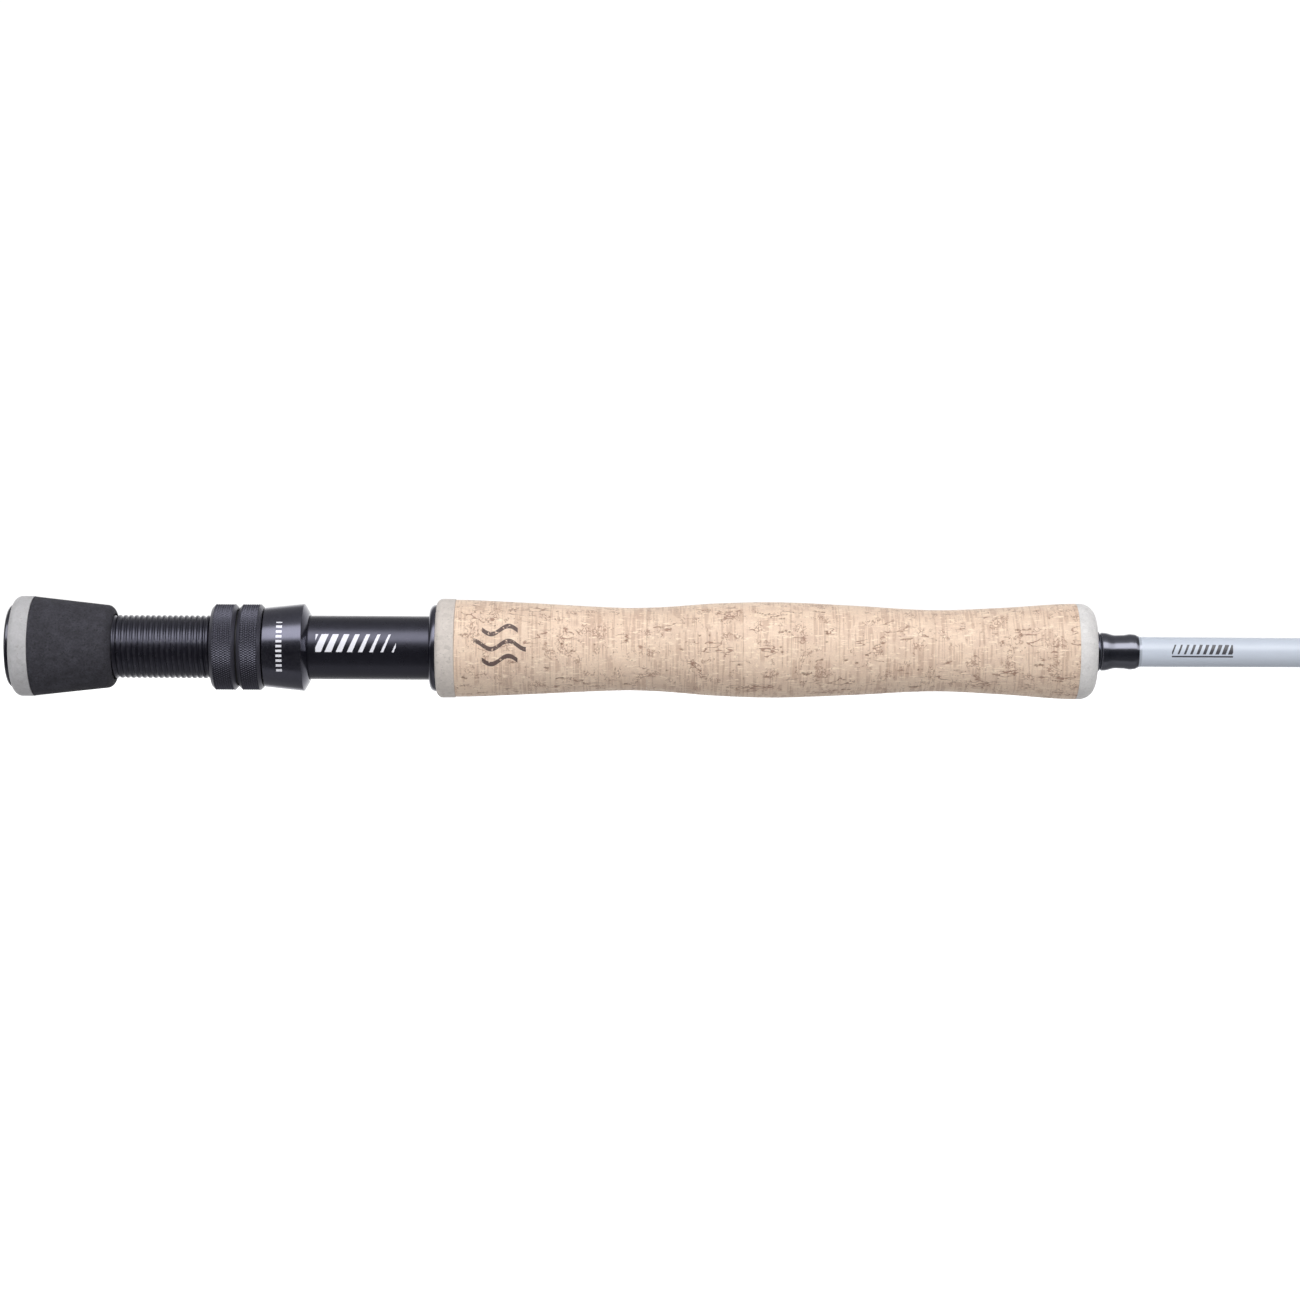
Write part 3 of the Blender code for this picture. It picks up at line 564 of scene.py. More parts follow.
rubber_cork = make_rubber_cork("butt_rubber_cork", BUTT_RING_COLOUR)
outside = (arc(BUTT_RING_START + BUTT_RING_CORNER, BUTT_RING_RADIUS - BUTT_RING_CORNER,
               BUTT_RING_CORNER, 180, 90, 10)
           + rounded([(BUTT_RING_START + BUTT_RING_CORNER + 0.0004, BUTT_RING_RADIUS),
                      (BUTT_RING_END, BUTT_RING_RADIUS), (BUTT_RING_END, BUTT_RADII[0] + 0.001)],
                     0.0001))
bore = [(BUTT_RING_END, BUTT_RADII[0] + GLUE), (CAP_SEAT, BUTT_RADII[0] + GLUE),
        (CAP_SEAT, CAP_RADIUS + GLUE), (BUTT_RING_START, CAP_RADIUS + GLUE)]
add_piece(turned("butt_ring_turned", outside, bore, segments=128), rubber_cork, "butt_section",
          ["butt_ring"])


# Fighting butt
# Closed-cell foam, turned to a taper, which rests against the angler's body while a fish is played.
# It is glued on over the rear end of the reel seat.

FOAM_START = 0.00665
FOAM_END = 0.0283
FOAM_RADII = (0.0134, 0.01125)
FOAM_CORNER = 0.0023
FOAM_RECESS = 0.0025
FOAM_MOUTH = ((0.0002, 0.0094), (0.0007, 0.0091))  # set back from the front end, radius
FOAM_STEPS = 40
BARREL_START = 0.0200
BARREL_RADIUS = 0.0086
GAP = 0.0003
FOAM_COLOUR = (0.033, 0.032, 0.042)
CELL_SHADE_COLOUR = (0.015, 0.015, 0.018)

foam, tree, shader = new_material("closed_cell_foam", Roughness=0.88)
cells = place_group(tree, granules, Size=0.00036, Low=0.78, High=1.25, Dark_Share=0.06)
tone = place_group(tree, mottle, Size=0.0032, Detail=5.0, Low=0.72, High=1.30)[0]
colour = shaded(tree, FOAM_COLOUR, add_math(tree, "MULTIPLY", cells["Value"], tone))
# The open cells are painted near black: painted shade in the cut pores.
colour = tinted(tree, colour, cells["Dark"], 0.6, CELL_SHADE_COLOUR)
tree.links.new(colour, shader.inputs["Base Color"])
height = add_math(tree, "SUBTRACT", cells["Value"], cells["Dark"])
add_bump(tree, shader, height, 0.00008)


def foam_relief(x, angle):
    """Cut cells leave the turned surface very slightly uneven."""
    spot = Vector((x, 0.012 * math.cos(angle), 0.012 * math.sin(angle))) * 1400
    return 0.00003 * noise.noise(spot)


slope = [(FOAM_START + (FOAM_END - FOAM_CORNER - FOAM_START) * step / FOAM_STEPS,
          FOAM_RADII[0] + (FOAM_RADII[1] - FOAM_RADII[0]) * step / FOAM_STEPS)
         for step in range(FOAM_STEPS)]
corner = arc(FOAM_END - FOAM_CORNER, FOAM_RADII[1] - FOAM_CORNER, FOAM_CORNER, 85, 0, 8)
outside = slope + corner + [(FOAM_END - back, radius) for back, radius in FOAM_MOUTH]
bore = [(FOAM_END - FOAM_RECESS, BARREL_RADIUS + GLUE), (BARREL_START - GAP, BARREL_RADIUS + GLUE),
        (BARREL_START - GAP, BUTT_RADII[0] + GLUE), (FOAM_START, BUTT_RADII[0] + GLUE)]
mesh = turned("fighting_butt_foam", outside, bore, segments=160, relief=foam_relief)
piece = add_piece(mesh, foam, "butt_section", ["fighting_butt"])


# Arbors
# Two sleeves of hard white foam, reamed to the blank's taper, which centre the reel seat on it. They
# are glued on the blank and inside the barrel, so they show only from the ends.

ARBOR_COLOUR = (0.70, 0.70, 0.66)

arbor_foam, tree, shader = new_material("arbor_foam", Roughness=0.85)
cells = place_group(tree, granules, Size=0.0005, Low=0.90, High=1.05, Dark_Share=0.05)
tree.links.new(shaded(tree, ARBOR_COLOUR, cells["Value"]), shader.inputs["Base Color"])
add_bump(tree, shader, cells["Value"], 0.00005)


def finish_node(node, material):
    """Give a CAD node that keeps its shape its material."""
    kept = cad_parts[node]
    kept.data.materials.clear()
    kept.data.materials.append(material)


for node in ("rear_arbor", "front_arbor"):
    finish_node(node, arbor_foam)


# Reel seat barrel
# An aluminium tube, black anodised after turning. The rear half carries a rolled thread for the lock
# rings, and a shallow flat is milled on the reel's side for the reel's foot.

BARREL_END = 0.1270
BARREL_BORE = 0.0073
THREAD_END = 0.0800
THREAD_PITCH = 0.0015
THREAD_CREST = 0.0085
THREAD_DEPTH = 0.00042
THREAD_FADE = 0.0012
THREAD_FORM = (0.0, 0.0, 0.05, 0.30, 0.85, 1.0, 0.80, 0.25)  # depth at equal steps through one turn
FOOT_LAND = (0.0817, 0.1130)
FOOT_LAND_Y = 0.0084
LAND_RUNOUT = 0.00005
BARREL_SEGMENTS = 144
BARREL_MARK = (0.0832, 0.1048)
MARK_WHITE = (0.80, 0.80, 0.86)
ANODISE_COLOUR = (0.0058, 0.0056, 0.0085)
BARE_METAL = (0.17, 0.17, 0.19)
ANODISE_IOR = 1.78
ANODISE_TINT = (0.78, 0.78, 1.0, 1.0)

anodised, tree, shader = new_material("black_anodising", IOR=ANODISE_IOR, Specular_Tint=ANODISE_TINT)


def anodise(tree, shader, roughness):
    """The colour, unevenness and fine turning lines that every anodised piece has."""
    rubbed = place_group(tree, wear, Size=0.0009)[0]
    tone = place_group(tree, mottle, Size=0.004, Detail=4.0, Low=0.85, High=1.15)[0]
    colour = tinted(tree, shaded(tree, ANODISE_COLOUR, tone), rubbed, 0.45, BARE_METAL)
    tree.links.new(colour, shader.inputs["Base Color"])
    vary_roughness(tree, shader, Size=0.0022, Detail=5.0, Low=roughness * 0.85, High=roughness * 1.15)
    lines = place_group(tree, mottle, Size=0.00012, Aspect=60.0, Detail=2.0, Low=0.0, High=1.0)[0]
    add_bump(tree, shader, lines, 0.0000025)
    return colour


colour = anodise(tree, shader, 0.30)
mark = place_group(tree, slanted_bars, Start=BARREL_MARK[0], End=BARREL_MARK[1], Bottom=-0.0012,
                   Top=0.0036, Pitch=0.0030, Slant=0.45, First=0.72, Last=0.16)[0]
tree.links.new(mix(tree, mark, colour, MARK_WHITE), shader.inputs["Base Color"])


def barrel_land(x, angle):
    """How far the flat for the reel's foot lies below the round barrel."""
    if not FOOT_LAND[0] <= x <= FOOT_LAND[1] or math.cos(angle) <= 0:
        return 0.0
    return min(0.0, FOOT_LAND_Y / math.cos(angle) - BARREL_RADIUS)


def thread_points(segments):
    """Points and faces of the thread alone. Its rows follow the helix, so each crest is one clean
    line, and the rows run out at both ends of the thread."""
    form = len(THREAD_FORM)
    turns = round((THREAD_END - BARREL_START) / THREAD_PITCH)
    points, faces = [], []
    rows = range(-form, (turns + 1) * form + 1)
    for row in rows:
        for column in range(segments + 1):
            x = BARREL_START + THREAD_PITCH * (row / form + column / segments)
            x = min(max(x, BARREL_START), THREAD_END)
            fade = min(1.0, (x - BARREL_START) / THREAD_FADE, (THREAD_END - x) / THREAD_FADE)
            radius = THREAD_CREST - THREAD_DEPTH * THREAD_FORM[row % form] * fade
            angle = math.tau * column / segments
            points.append((x, radius * math.cos(angle), radius * math.sin(angle)))
    width = segments + 1
    for row in range(len(rows) - 1):
        for column in range(segments):
            near = row * width + column
            faces.append((near, near + 1, near + width + 1, near + width))
    return points, faces


def joined_with(mesh, points, faces, name, weld=2e-6):
    """A mesh with more faces sewn on, where points closer than weld are made one."""
    shape = bmesh.new()
    shape.from_mesh(mesh)
    made = [shape.verts.new(point) for point in points]
    for face in faces:
        shape.faces.new([made[corner] for corner in face])
    bmesh.ops.remove_doubles(shape, verts=shape.verts, dist=weld)
    bmesh.ops.dissolve_degenerate(shape, edges=shape.edges, dist=weld / 2)
    bmesh.ops.recalc_face_normals(shape, faces=shape.faces)
    joined = bpy.data.meshes.new(name)
    shape.to_mesh(joined)
    shape.free()
    return joined


stations = (THREAD_END + 0.0002, FOOT_LAND[0] - LAND_RUNOUT, *FOOT_LAND, FOOT_LAND[1] + LAND_RUNOUT,
            BARREL_END)
outside = [(THREAD_END, THREAD_CREST)] + [(x, BARREL_RADIUS) for x in stations]
bore = [(BARREL_END, BARREL_BORE), (BARREL_START, BARREL_BORE), (BARREL_START, THREAD_CREST)]
plain = turned("barrel_plain", outside, bore, segments=BARREL_SEGMENTS, relief=barrel_land, close=False)
mesh = joined_with(plain, *thread_points(BARREL_SEGMENTS), "barrel_threaded")
finish_mesh(mesh, sharp=50)
add_piece(mesh, anodised, "butt_section", ["reel_seat_barrel"])


# Lock rings and washer
# Two knurled aluminium rings on the thread, black anodised, and a nylon washer recessed into their
# facing sides so that the rear ring can be locked against the front one.

LOCK_RING_RADIUS = 0.0116
LOCK_RING_CHAMFER = 0.0009
LOCK_RINGS = (("rear_lock_ring", "rear_ring", 0.0548, 0.0617),
              ("front_lock_ring", "front_ring", 0.0621, 0.0686))
LOCK_RING_EASING = 0.0002
FACE_STEPS = (0.0012, 0.0008)  # below the chamfer, on the faces
KNURLS = 108
KNURL_PITCH = 0.0012
KNURL_DEPTH = 0.00024
KNURL_STEPS = 6
KNURL_ROWS = 9
KNURL_SHADE_AND_HIGHLIGHT = ((0.006, 0.006, 0.009), (0.125, 0.122, 0.150))  # painted shade in the grooves, painted highlight on the crests
RUNNING = 0.00008
WASHER_X = 0.0619
WASHER_HALF = 0.0006
WASHER_RADIUS = 0.0100
WASHER_RECESS = 0.0009
NYLON_COLOUR = (0.02, 0.02, 0.021)

knurled, tree, shader = new_material("knurled_anodising", IOR=ANODISE_IOR, Specular_Tint=ANODISE_TINT)
anodise(tree, shader, 0.34)
# The crests are painted lighter and the grooves darker: a painted highlight and painted shade on the
# knurl.
knurl_light_mask = add_node(tree, "Attribute", attribute_name="mark").outputs["Fac"]
knurl_light_mask = add_node(tree, "MapRange", {"Value": knurl_light_mask, "From Min": 0.35, "From Max": 0.95}).outputs[0]
tree.links.new(mix(tree, knurl_light_mask, *KNURL_SHADE_AND_HIGHLIGHT), shader.inputs["Base Color"])


def knurl(x, angle):
    """Two sets of crossing grooves, which leave rows of small pyramids."""
    for _, _, low, high in LOCK_RINGS:
        if low + LOCK_RING_CHAMFER < x < high - LOCK_RING_CHAMFER:
            along = x / KNURL_PITCH
            around = angle * KNURLS / math.tau
            grooves = [1 - 2 * abs((along + hand * around) % 1 - 0.5) for hand in (-1, 1)]
            return -KNURL_DEPTH * max(grooves)
    return 0.0


def knurl_light_share(x, angle):
    """1 on top of the pyramids, 0 at the bottom of the grooves and 0.5 where there is no knurl. It places
    the painted highlight on the crests and the painted shade in the grooves.
    """
    depth = knurl(x, angle)
    return 1 + depth / KNURL_DEPTH if depth else 0.5


rim = LOCK_RING_RADIUS - LOCK_RING_CHAMFER
bore_radius = THREAD_CREST + RUNNING
recess = WASHER_RADIUS + 0.0003
for name, body, low, high in LOCK_RINGS:
    band = (low + LOCK_RING_CHAMFER, high - LOCK_RING_CHAMFER)
    steps = round((band[1] - band[0]) / KNURL_PITCH * KNURL_ROWS)
    middle = [(band[0] + (band[1] - band[0]) * step / steps, LOCK_RING_RADIUS)
              for step in range(steps + 1)]
    edges = [rounded([(low, rim - FACE_STEPS[1]), (low, rim), middle[0]], LOCK_RING_EASING)[1:-1],
             rounded([middle[-1], (high, rim), (high, rim - FACE_STEPS[1])], LOCK_RING_EASING)[1:-1]]
    if low > WASHER_X:
        faces = [(low, recess + 0.0002)], [(high, rim - FACE_STEPS[1])]
        bore = [(high, bore_radius), (WASHER_X + WASHER_RECESS, bore_radius),
                (WASHER_X + WASHER_RECESS, recess), (low, recess)]
    else:
        faces = [(low, rim - step) for step in FACE_STEPS], [(high, recess + 0.0002)]
        bore = [(high, recess), (WASHER_X - WASHER_RECESS, recess),
                (WASHER_X - WASHER_RECESS, bore_radius), (low, bore_radius)]
    outside = faces[0] + edges[0] + middle + edges[1] + faces[1]
    mesh = turned(f"{name}_knurled", outside, bore, segments=KNURLS * KNURL_STEPS, relief=knurl,
                  marks=knurl_light_share)
    add_piece(mesh, knurled, body, [name])

nylon, tree, shader = new_material("black_nylon", Roughness=0.5)
tone = place_group(tree, mottle, Size=0.001, Detail=4.0, Low=0.7, High=1.3)[0]
tree.links.new(shaded(tree, NYLON_COLOUR, tone), shader.inputs["Base Color"])
flow = vary_roughness(tree, shader, Size=0.0005, Detail=2.0, Low=0.42, High=0.6)
add_bump(tree, shader, flow, 0.00001)

outline = rounded([(WASHER_X - WASHER_HALF, THREAD_CREST + RUNNING),
                   (WASHER_X - WASHER_HALF, WASHER_RADIUS), (WASHER_X + WASHER_HALF, WASHER_RADIUS),
                   (WASHER_X + WASHER_HALF, THREAD_CREST + RUNNING)], 0.0002)
mesh = turned("lock_washer_ring", outline[:-1], outline[-1:])
add_piece(mesh, nylon, "washer", ["lock_washer"])


# Sliding hood
# A turned aluminium cup, black anodised and lacquered. The front ring pushes it along the barrel, and
# the pocket under its lip clamps the reel's foot. A nylon bush keeps it from scratching the barrel.

HOOD_START = 0.0689
HOOD_LIP = 0.0795
HOOD_END = 0.0810
HOOD_RADII = (0.0107, 0.0118)
HOOD_MOUTH_WALL = 0.0006
BUSH_LENGTH = 0.0028
BUSH_END_ROOM = 0.0006
BUSH_RADIUS = 0.0098
HOOD_POCKET_DEPTH = 0.0082
POCKET_RADIUS = 0.0108
POCKET_WIDTH = 0.0130
POCKET_FLOOR = 0.8  # of the barrel's radius, so that the cut reaches well into the bore
POCKET_STEPS = 16
HOOD_MARK = (0.0728, 0.0744)
HOOD_MARK_HALF = 0.0068
HOOD_TICK_PITCH = 0.0013
HOOD_MARK_WHITE = (0.82, 0.82, 0.88)
LACQUER_IOR = 2.15

hood_lacquer, tree, shader = new_material("hood_lacquer", IOR=LACQUER_IOR, Specular_Tint=ANODISE_TINT)
colour = anodise(tree, shader, 0.17)
band = place_group(tree, stripe, Start=HOOD_MARK[0], End=HOOD_MARK[1], Bottom=-HOOD_MARK_HALF,
                   Top=HOOD_MARK_HALF)[0]
ticks = add_math(tree, "FRACT", add_math(tree, "DIVIDE", object_xyz(tree)[2], HOOD_TICK_PITCH))
mark = add_math(tree, "MULTIPLY", band, add_math(tree, "LESS_THAN", ticks, 0.5))
tree.links.new(mix(tree, mark, colour, HOOD_MARK_WHITE), shader.inputs["Base Color"])


def pocket_cutter(name, low_x, high_x):
    """The space that one end of the reel's foot fills: a slice of a thick tube on the reel's side."""
    reach = math.asin(POCKET_WIDTH / 2 / POCKET_RADIUS)
    angles = [-reach + 2 * reach * step / POCKET_STEPS for step in range(POCKET_STEPS + 1)]
    section = [(POCKET_RADIUS * math.cos(a), POCKET_RADIUS * math.sin(a)) for a in angles]
    section += [(BARREL_RADIUS * POCKET_FLOOR * math.cos(a), BARREL_RADIUS * POCKET_FLOOR * math.sin(a))
                for a in reversed(angles)]
    shape = bmesh.new()
    face = shape.faces.new([shape.verts.new((low_x, y, z)) for y, z in section])
    grown = bmesh.ops.extrude_face_region(shape, geom=[face])
    moved = [item for item in grown["geom"] if isinstance(item, bmesh.types.BMVert)]
    bmesh.ops.translate(shape, verts=moved, vec=(high_x - low_x, 0, 0))
    bmesh.ops.recalc_face_normals(shape, faces=shape.faces)
    mesh = bpy.data.meshes.new(name)
    shape.to_mesh(mesh)
    shape.free()
    return mesh


def combined(mesh, other, operation):
    """The mesh with the other cut from it or joined to it."""
    base = bpy.data.objects.new("base", mesh)
    tool = bpy.data.objects.new("tool", other)
    for made in (base, tool):
        bpy.context.scene.collection.objects.link(made)
    modifier = base.modifiers.new("combine", "BOOLEAN")
    modifier.operation = operation
    modifier.solver = "EXACT"
    modifier.object = tool
    bpy.context.view_layer.update()
    graph = bpy.context.evaluated_depsgraph_get()
    result = bpy.data.meshes.new_from_object(base.evaluated_get(graph))
    name = mesh.name
    for made in (base, tool):
        bpy.data.objects.remove(made)
    for used in (mesh, other):
        bpy.data.meshes.remove(used)
    result.name = name
    return finish_mesh(result)


hood_bore = BARREL_RADIUS + RUNNING
bush_end = HOOD_START + BUSH_LENGTH + BUSH_END_ROOM
outside = rounded([(HOOD_START, BUSH_RADIUS + 0.0004), (HOOD_START, HOOD_RADII[0]),
                   (HOOD_LIP, HOOD_RADII[1]), (HOOD_END, BARREL_RADIUS + HOOD_MOUTH_WALL),
                   (HOOD_END, hood_bore + 0.0002)], 0.00025)
bore = [(HOOD_END - 0.0001, hood_bore), (bush_end, hood_bore), (bush_end, BUSH_RADIUS + GLUE),
        (HOOD_START, BUSH_RADIUS + GLUE)]
mesh = turned("sliding_hood_cup", outside, bore, segments=144)
cutter = pocket_cutter("hood_pocket", HOOD_END - HOOD_POCKET_DEPTH, HOOD_END + 0.0003)
mesh = combined(mesh, cutter, "DIFFERENCE")
add_piece(mesh, hood_lacquer, "hood", ["sliding_hood"])
finish_node("hood_bush", nylon)


# Fixed hood
# A turned aluminium cup glued on the front of the barrel and buried in the rear of the grip. Only its
# rolled lip shows, and the pocket that opens through it.

FIXED_HOOD_START = 0.1135
FIXED_HOOD_END = 0.1262
FIXED_HOOD_RADIUS = 0.0113
FIXED_LIP_RADIUS = 0.0117
FIXED_LIP_ROUND = 0.0016
FIXED_POCKET_DEPTH = 0.0092
GRIP_START = 0.1153

outside = ([(FIXED_HOOD_START, BARREL_RADIUS + 0.0005)]
           + arc(FIXED_HOOD_START + FIXED_LIP_ROUND, FIXED_LIP_RADIUS - FIXED_LIP_ROUND,
                 FIXED_LIP_ROUND, 180, 90, 10)
           + [(GRIP_START - 0.0001, FIXED_LIP_RADIUS), (GRIP_START - 0.0001, FIXED_HOOD_RADIUS),
              (FIXED_HOOD_END, FIXED_HOOD_RADIUS)])
bore = [(FIXED_HOOD_END, BARREL_RADIUS + GLUE), (FIXED_HOOD_START, BARREL_RADIUS + GLUE)]
mesh = turned("fixed_hood_cup", outside, bore, segments=144)
cutter = pocket_cutter("fixed_pocket", FIXED_HOOD_START - 0.0003,
                       FIXED_HOOD_START + FIXED_POCKET_DEPTH)
mesh = combined(mesh, cutter, "DIFFERENCE")
add_piece(mesh, hood_lacquer, "butt_section", ["fixed_hood"])


# Grip
# Thirteen rings of natural cork glued on the blank between two rings of rubber-cork, then turned and
# sanded together to a full-wells outline: swells at both ends and in the middle. The cork keeps its
# pits and growth streaks, since only the largest are filled.

GRIP_END = 0.2931
GRIP_RING_LENGTH = 0.0052
GRIP_RING_RADIUS = 0.01335
GRIP_RING_ROUND = 0.0018
REAR_RING_COLOUR = (0.62, 0.565, 0.525)
FRONT_RING_COLOUR = (0.70, 0.685, 0.68)
CORK_RINGS = 13
CORK_START = GRIP_START + GRIP_RING_LENGTH
CORK_END = GRIP_END - GRIP_RING_LENGTH
CORK_PITCH = (CORK_END - CORK_START) / CORK_RINGS
GRIP_OUTLINE = ((0.0, 0.0131), (0.10, 0.0125), (0.265, 0.0112), (0.33, 0.0114), (0.42, 0.0125),
                (0.52, 0.0129), (0.64, 0.0121), (0.77, 0.0110), (0.88, 0.0117), (1.0, 0.0129))
FRONT_RING_CORNER = 0.0042
CORK_ROWS = 52
CORK_SEGMENTS = 320
CORK_EDGE = 0.00012
CORK_GAP = 0.00002
CORK_CRACKS = 7
CORK_PITS = 18
PIT_MARGIN = 0.0004
CORK_COLOURS = ((0.74, 0.56, 0.430), (0.83, 0.65, 0.505))
CORK_ROSY = (0.60, 0.42, 0.34)
CORK_CREAM = (0.90, 0.73, 0.57)
CORK_GROWTH = (0.47, 0.30, 0.22)
CORK_CRACK = (0.33, 0.19, 0.135)
CORK_FLECK = (0.25, 0.15, 0.11)
CORK_PIT_WALL_AND_SHADE = (0.25, 0.145, 0.10)
CORK_SEAM = (0.45, 0.30, 0.22)

# The emblem is three waves, one over the other, burnt into the rear of the grip.
EMBLEM_X = 0.1328
EMBLEM_HALF = 0.0070
EMBLEM_SHORT = 0.68
EMBLEM_HEIGHTS = (0.0049, 0.0009, -0.0031)
EMBLEM_SWELL = 0.0011
EMBLEM_CYCLES = 0.75
EMBLEM_STROKE = 0.00062
EMBLEM_COLOUR = (0.085, 0.050, 0.048)


def grip_radius(x):
    """Outer radius of the cork: a smooth curve through the points of GRIP_OUTLINE."""
    t = (x - CORK_START) / (CORK_END - CORK_START)
    stations = [station for station, _ in GRIP_OUTLINE]
    radii = [radius for _, radius in GRIP_OUTLINE]
    last = len(stations) - 1
    i = min(max(sum(t > station for station in stations) - 1, 0), last - 1)

    def slope(k):
        if k in (0, last):
            return 0.0
        return (radii[k + 1] - radii[k - 1]) / (stations[k + 1] - stations[k - 1])

    width = stations[i + 1] - stations[i]
    u = (t - stations[i]) / width
    blend = u * u * (3 - 2 * u)
    bend = slope(i) * u * (1 - u) ** 2 - slope(i + 1) * u * u * (1 - u)
    return radii[i] + (radii[i + 1] - radii[i]) * blend + bend * width


# Streaks: a mask of thin dark lines, as cork's growth lines show on a turned surface. Size is their
# spacing across, and Stretch is how much longer they are along X.
streaks, given, result = new_group(
    "streaks", {"Size": 0.002, "Stretch": 4.0, "Width": 0.02, "Warp": 0.0008}, ["Mask"])
spot = add_node(streaks, "TexCoord").outputs["Object"]
bend = add_node(streaks, "TexNoise", {"Vector": spot, "Scale": 220.0, "Detail": 3.0})
shift = add_node(streaks, "VectorMath", {0: bend.outputs["Color"], 1: (0.5, 0.5, 0.5)},
                 operation="SUBTRACT").outputs[0]
shift = add_node(streaks, "VectorMath", {0: shift, "Scale": given["Warp"]}, operation="SCALE").outputs[0]
place = add_node(streaks, "VectorMath", {0: spot, 1: shift}, operation="ADD").outputs[0]
place = add_node(streaks, "SeparateXYZ", {0: place})
long_size = add_math(streaks, "MULTIPLY", given["Size"], given["Stretch"])
place = add_node(streaks, "CombineXYZ", {0: add_math(streaks, "DIVIDE", place.outputs[0], long_size),
                                         1: add_math(streaks, "DIVIDE", place.outputs[1], given["Size"]),
                                         2: add_math(streaks, "DIVIDE", place.outputs[2], given["Size"])})
field = add_node(streaks, "TexNoise", {"Vector": place.outputs[0], "Scale": 1.0, "Detail": 3.0})
distance = add_math(streaks, "ABSOLUTE", add_math(streaks, "SUBTRACT", field.outputs[0], 0.5))
line = add_node(streaks, "MapRange", {"Value": distance, "From Max": given["Width"], "To Min": 1.0,
                                      "To Max": 0.0})
streaks.links.new(line.outputs[0], result.inputs["Mask"])

cork, tree, shader = new_material("natural_cork", Roughness=0.62, Sheen_Weight=0.22,
                                  Sheen_Roughness=0.5)
x, y, z = object_xyz(tree)
ring_number = add_math(tree, "FLOOR", add_math(tree, "MULTIPLY_ADD", x, 1 / CORK_PITCH,
                                               -CORK_START / CORK_PITCH))
ring_chance = add_node(tree, "TexWhiteNoise", {"W": ring_number}, noise_dimensions="1D").outputs[0]
ring_tone = add_node(tree, "MapRange", {"Value": ring_chance, "To Min": 0.97, "To Max": 1.03}).outputs[0]

# Clouds of two tones, rosy patches, and fine growth lines round the rod in some of the patches.
cloud = place_group(tree, mottle, Size=0.007, Aspect=0.9, Detail=4.0, Low=0.0, High=1.0)[0]
colour = mix(tree, cloud, *CORK_COLOURS)
rosy = place_group(tree, mottle, Size=0.006, Aspect=0.6, Detail=5.0, Low=-1.6, High=2.2, Shift=0.11)[0]
colour = tinted(tree, colour, rosy, 0.16, CORK_ROSY)
patch = place_group(tree, mottle, Size=0.0095, Aspect=1.2, Detail=2.0, Low=-2.0, High=2.8, Shift=0.31)[0]
growth = place_group(tree, mottle, Size=0.00065, Aspect=22.0, Detail=1.0, Low=-3.2, High=3.0)[0]
growth = add_math(tree, "MULTIPLY", growth, patch, clamp=True)
colour = tinted(tree, colour, growth, 0.46, CORK_GROWTH)
cream = place_group(tree, mottle, Size=0.0024, Aspect=0.22, Detail=2.0, Low=-6.6, High=3.0, Shift=0.17)[0]
colour = tinted(tree, colour, cream, 0.42, CORK_CREAM)

# Long cracks and small crackled spots, each only where its gate is open.
gate = place_group(tree, mottle, Size=0.0075, Aspect=0.7, Detail=2.0, Low=-5.4, High=4.1, Shift=0.53)[0]
crack = place_group(tree, streaks, Size=0.0026, Stretch=3.6, Width=0.020, Warp=0.0012)[0]
crack = add_math(tree, "MULTIPLY", crack, gate, clamp=True)
colour = tinted(tree, colour, crack, 0.85, CORK_CRACK)
gate = place_group(tree, mottle, Size=0.0042, Detail=3.0, Low=-11.8, High=6.6, Shift=0.77)[0]
crackle = place_group(tree, streaks, Size=0.0010, Stretch=0.9, Width=0.055, Warp=0.0020)[0]
crackle = add_math(tree, "MULTIPLY", crackle, gate, clamp=True)
colour = tinted(tree, colour, crackle, 0.65, CORK_CRACK)

# The grain's own flecks, the dark inside of the cut pits, which is the cork's darker pit wall with painted
# shade on it, and the glue line at each ring's edge.
grain = place_group(tree, granules, Size=0.00028, Low=0.95, High=1.05, Dark_Share=0.012)
colour = shaded(tree, colour, add_math(tree, "MULTIPLY", grain["Value"], ring_tone))
colour = tinted(tree, colour, grain["Dark"], 0.38, CORK_FLECK)
pit = add_node(tree, "Attribute", attribute_name="mark").outputs["Fac"]
pit_wall_and_shade = add_node(tree, "MapRange", {"Value": pit, "From Min": 0.1, "From Max": 0.7}).outputs[0]
colour = tinted(tree, colour, pit_wall_and_shade, 0.75, CORK_PIT_WALL_AND_SHADE)
seam = add_math(tree, "FRACT", add_math(tree, "MULTIPLY_ADD", x, 1 / CORK_PITCH,
                                        0.5 - CORK_START / CORK_PITCH))
seam = add_math(tree, "ABSOLUTE", add_math(tree, "SUBTRACT", seam, 0.5))
seam = add_node(tree, "MapRange", {"Value": seam, "From Min": 0.006, "From Max": 0.016, "To Min": 1.0,
                                   "To Max": 0.0}).outputs[0]
colour = tinted(tree, colour, seam, 0.22, CORK_SEAM)

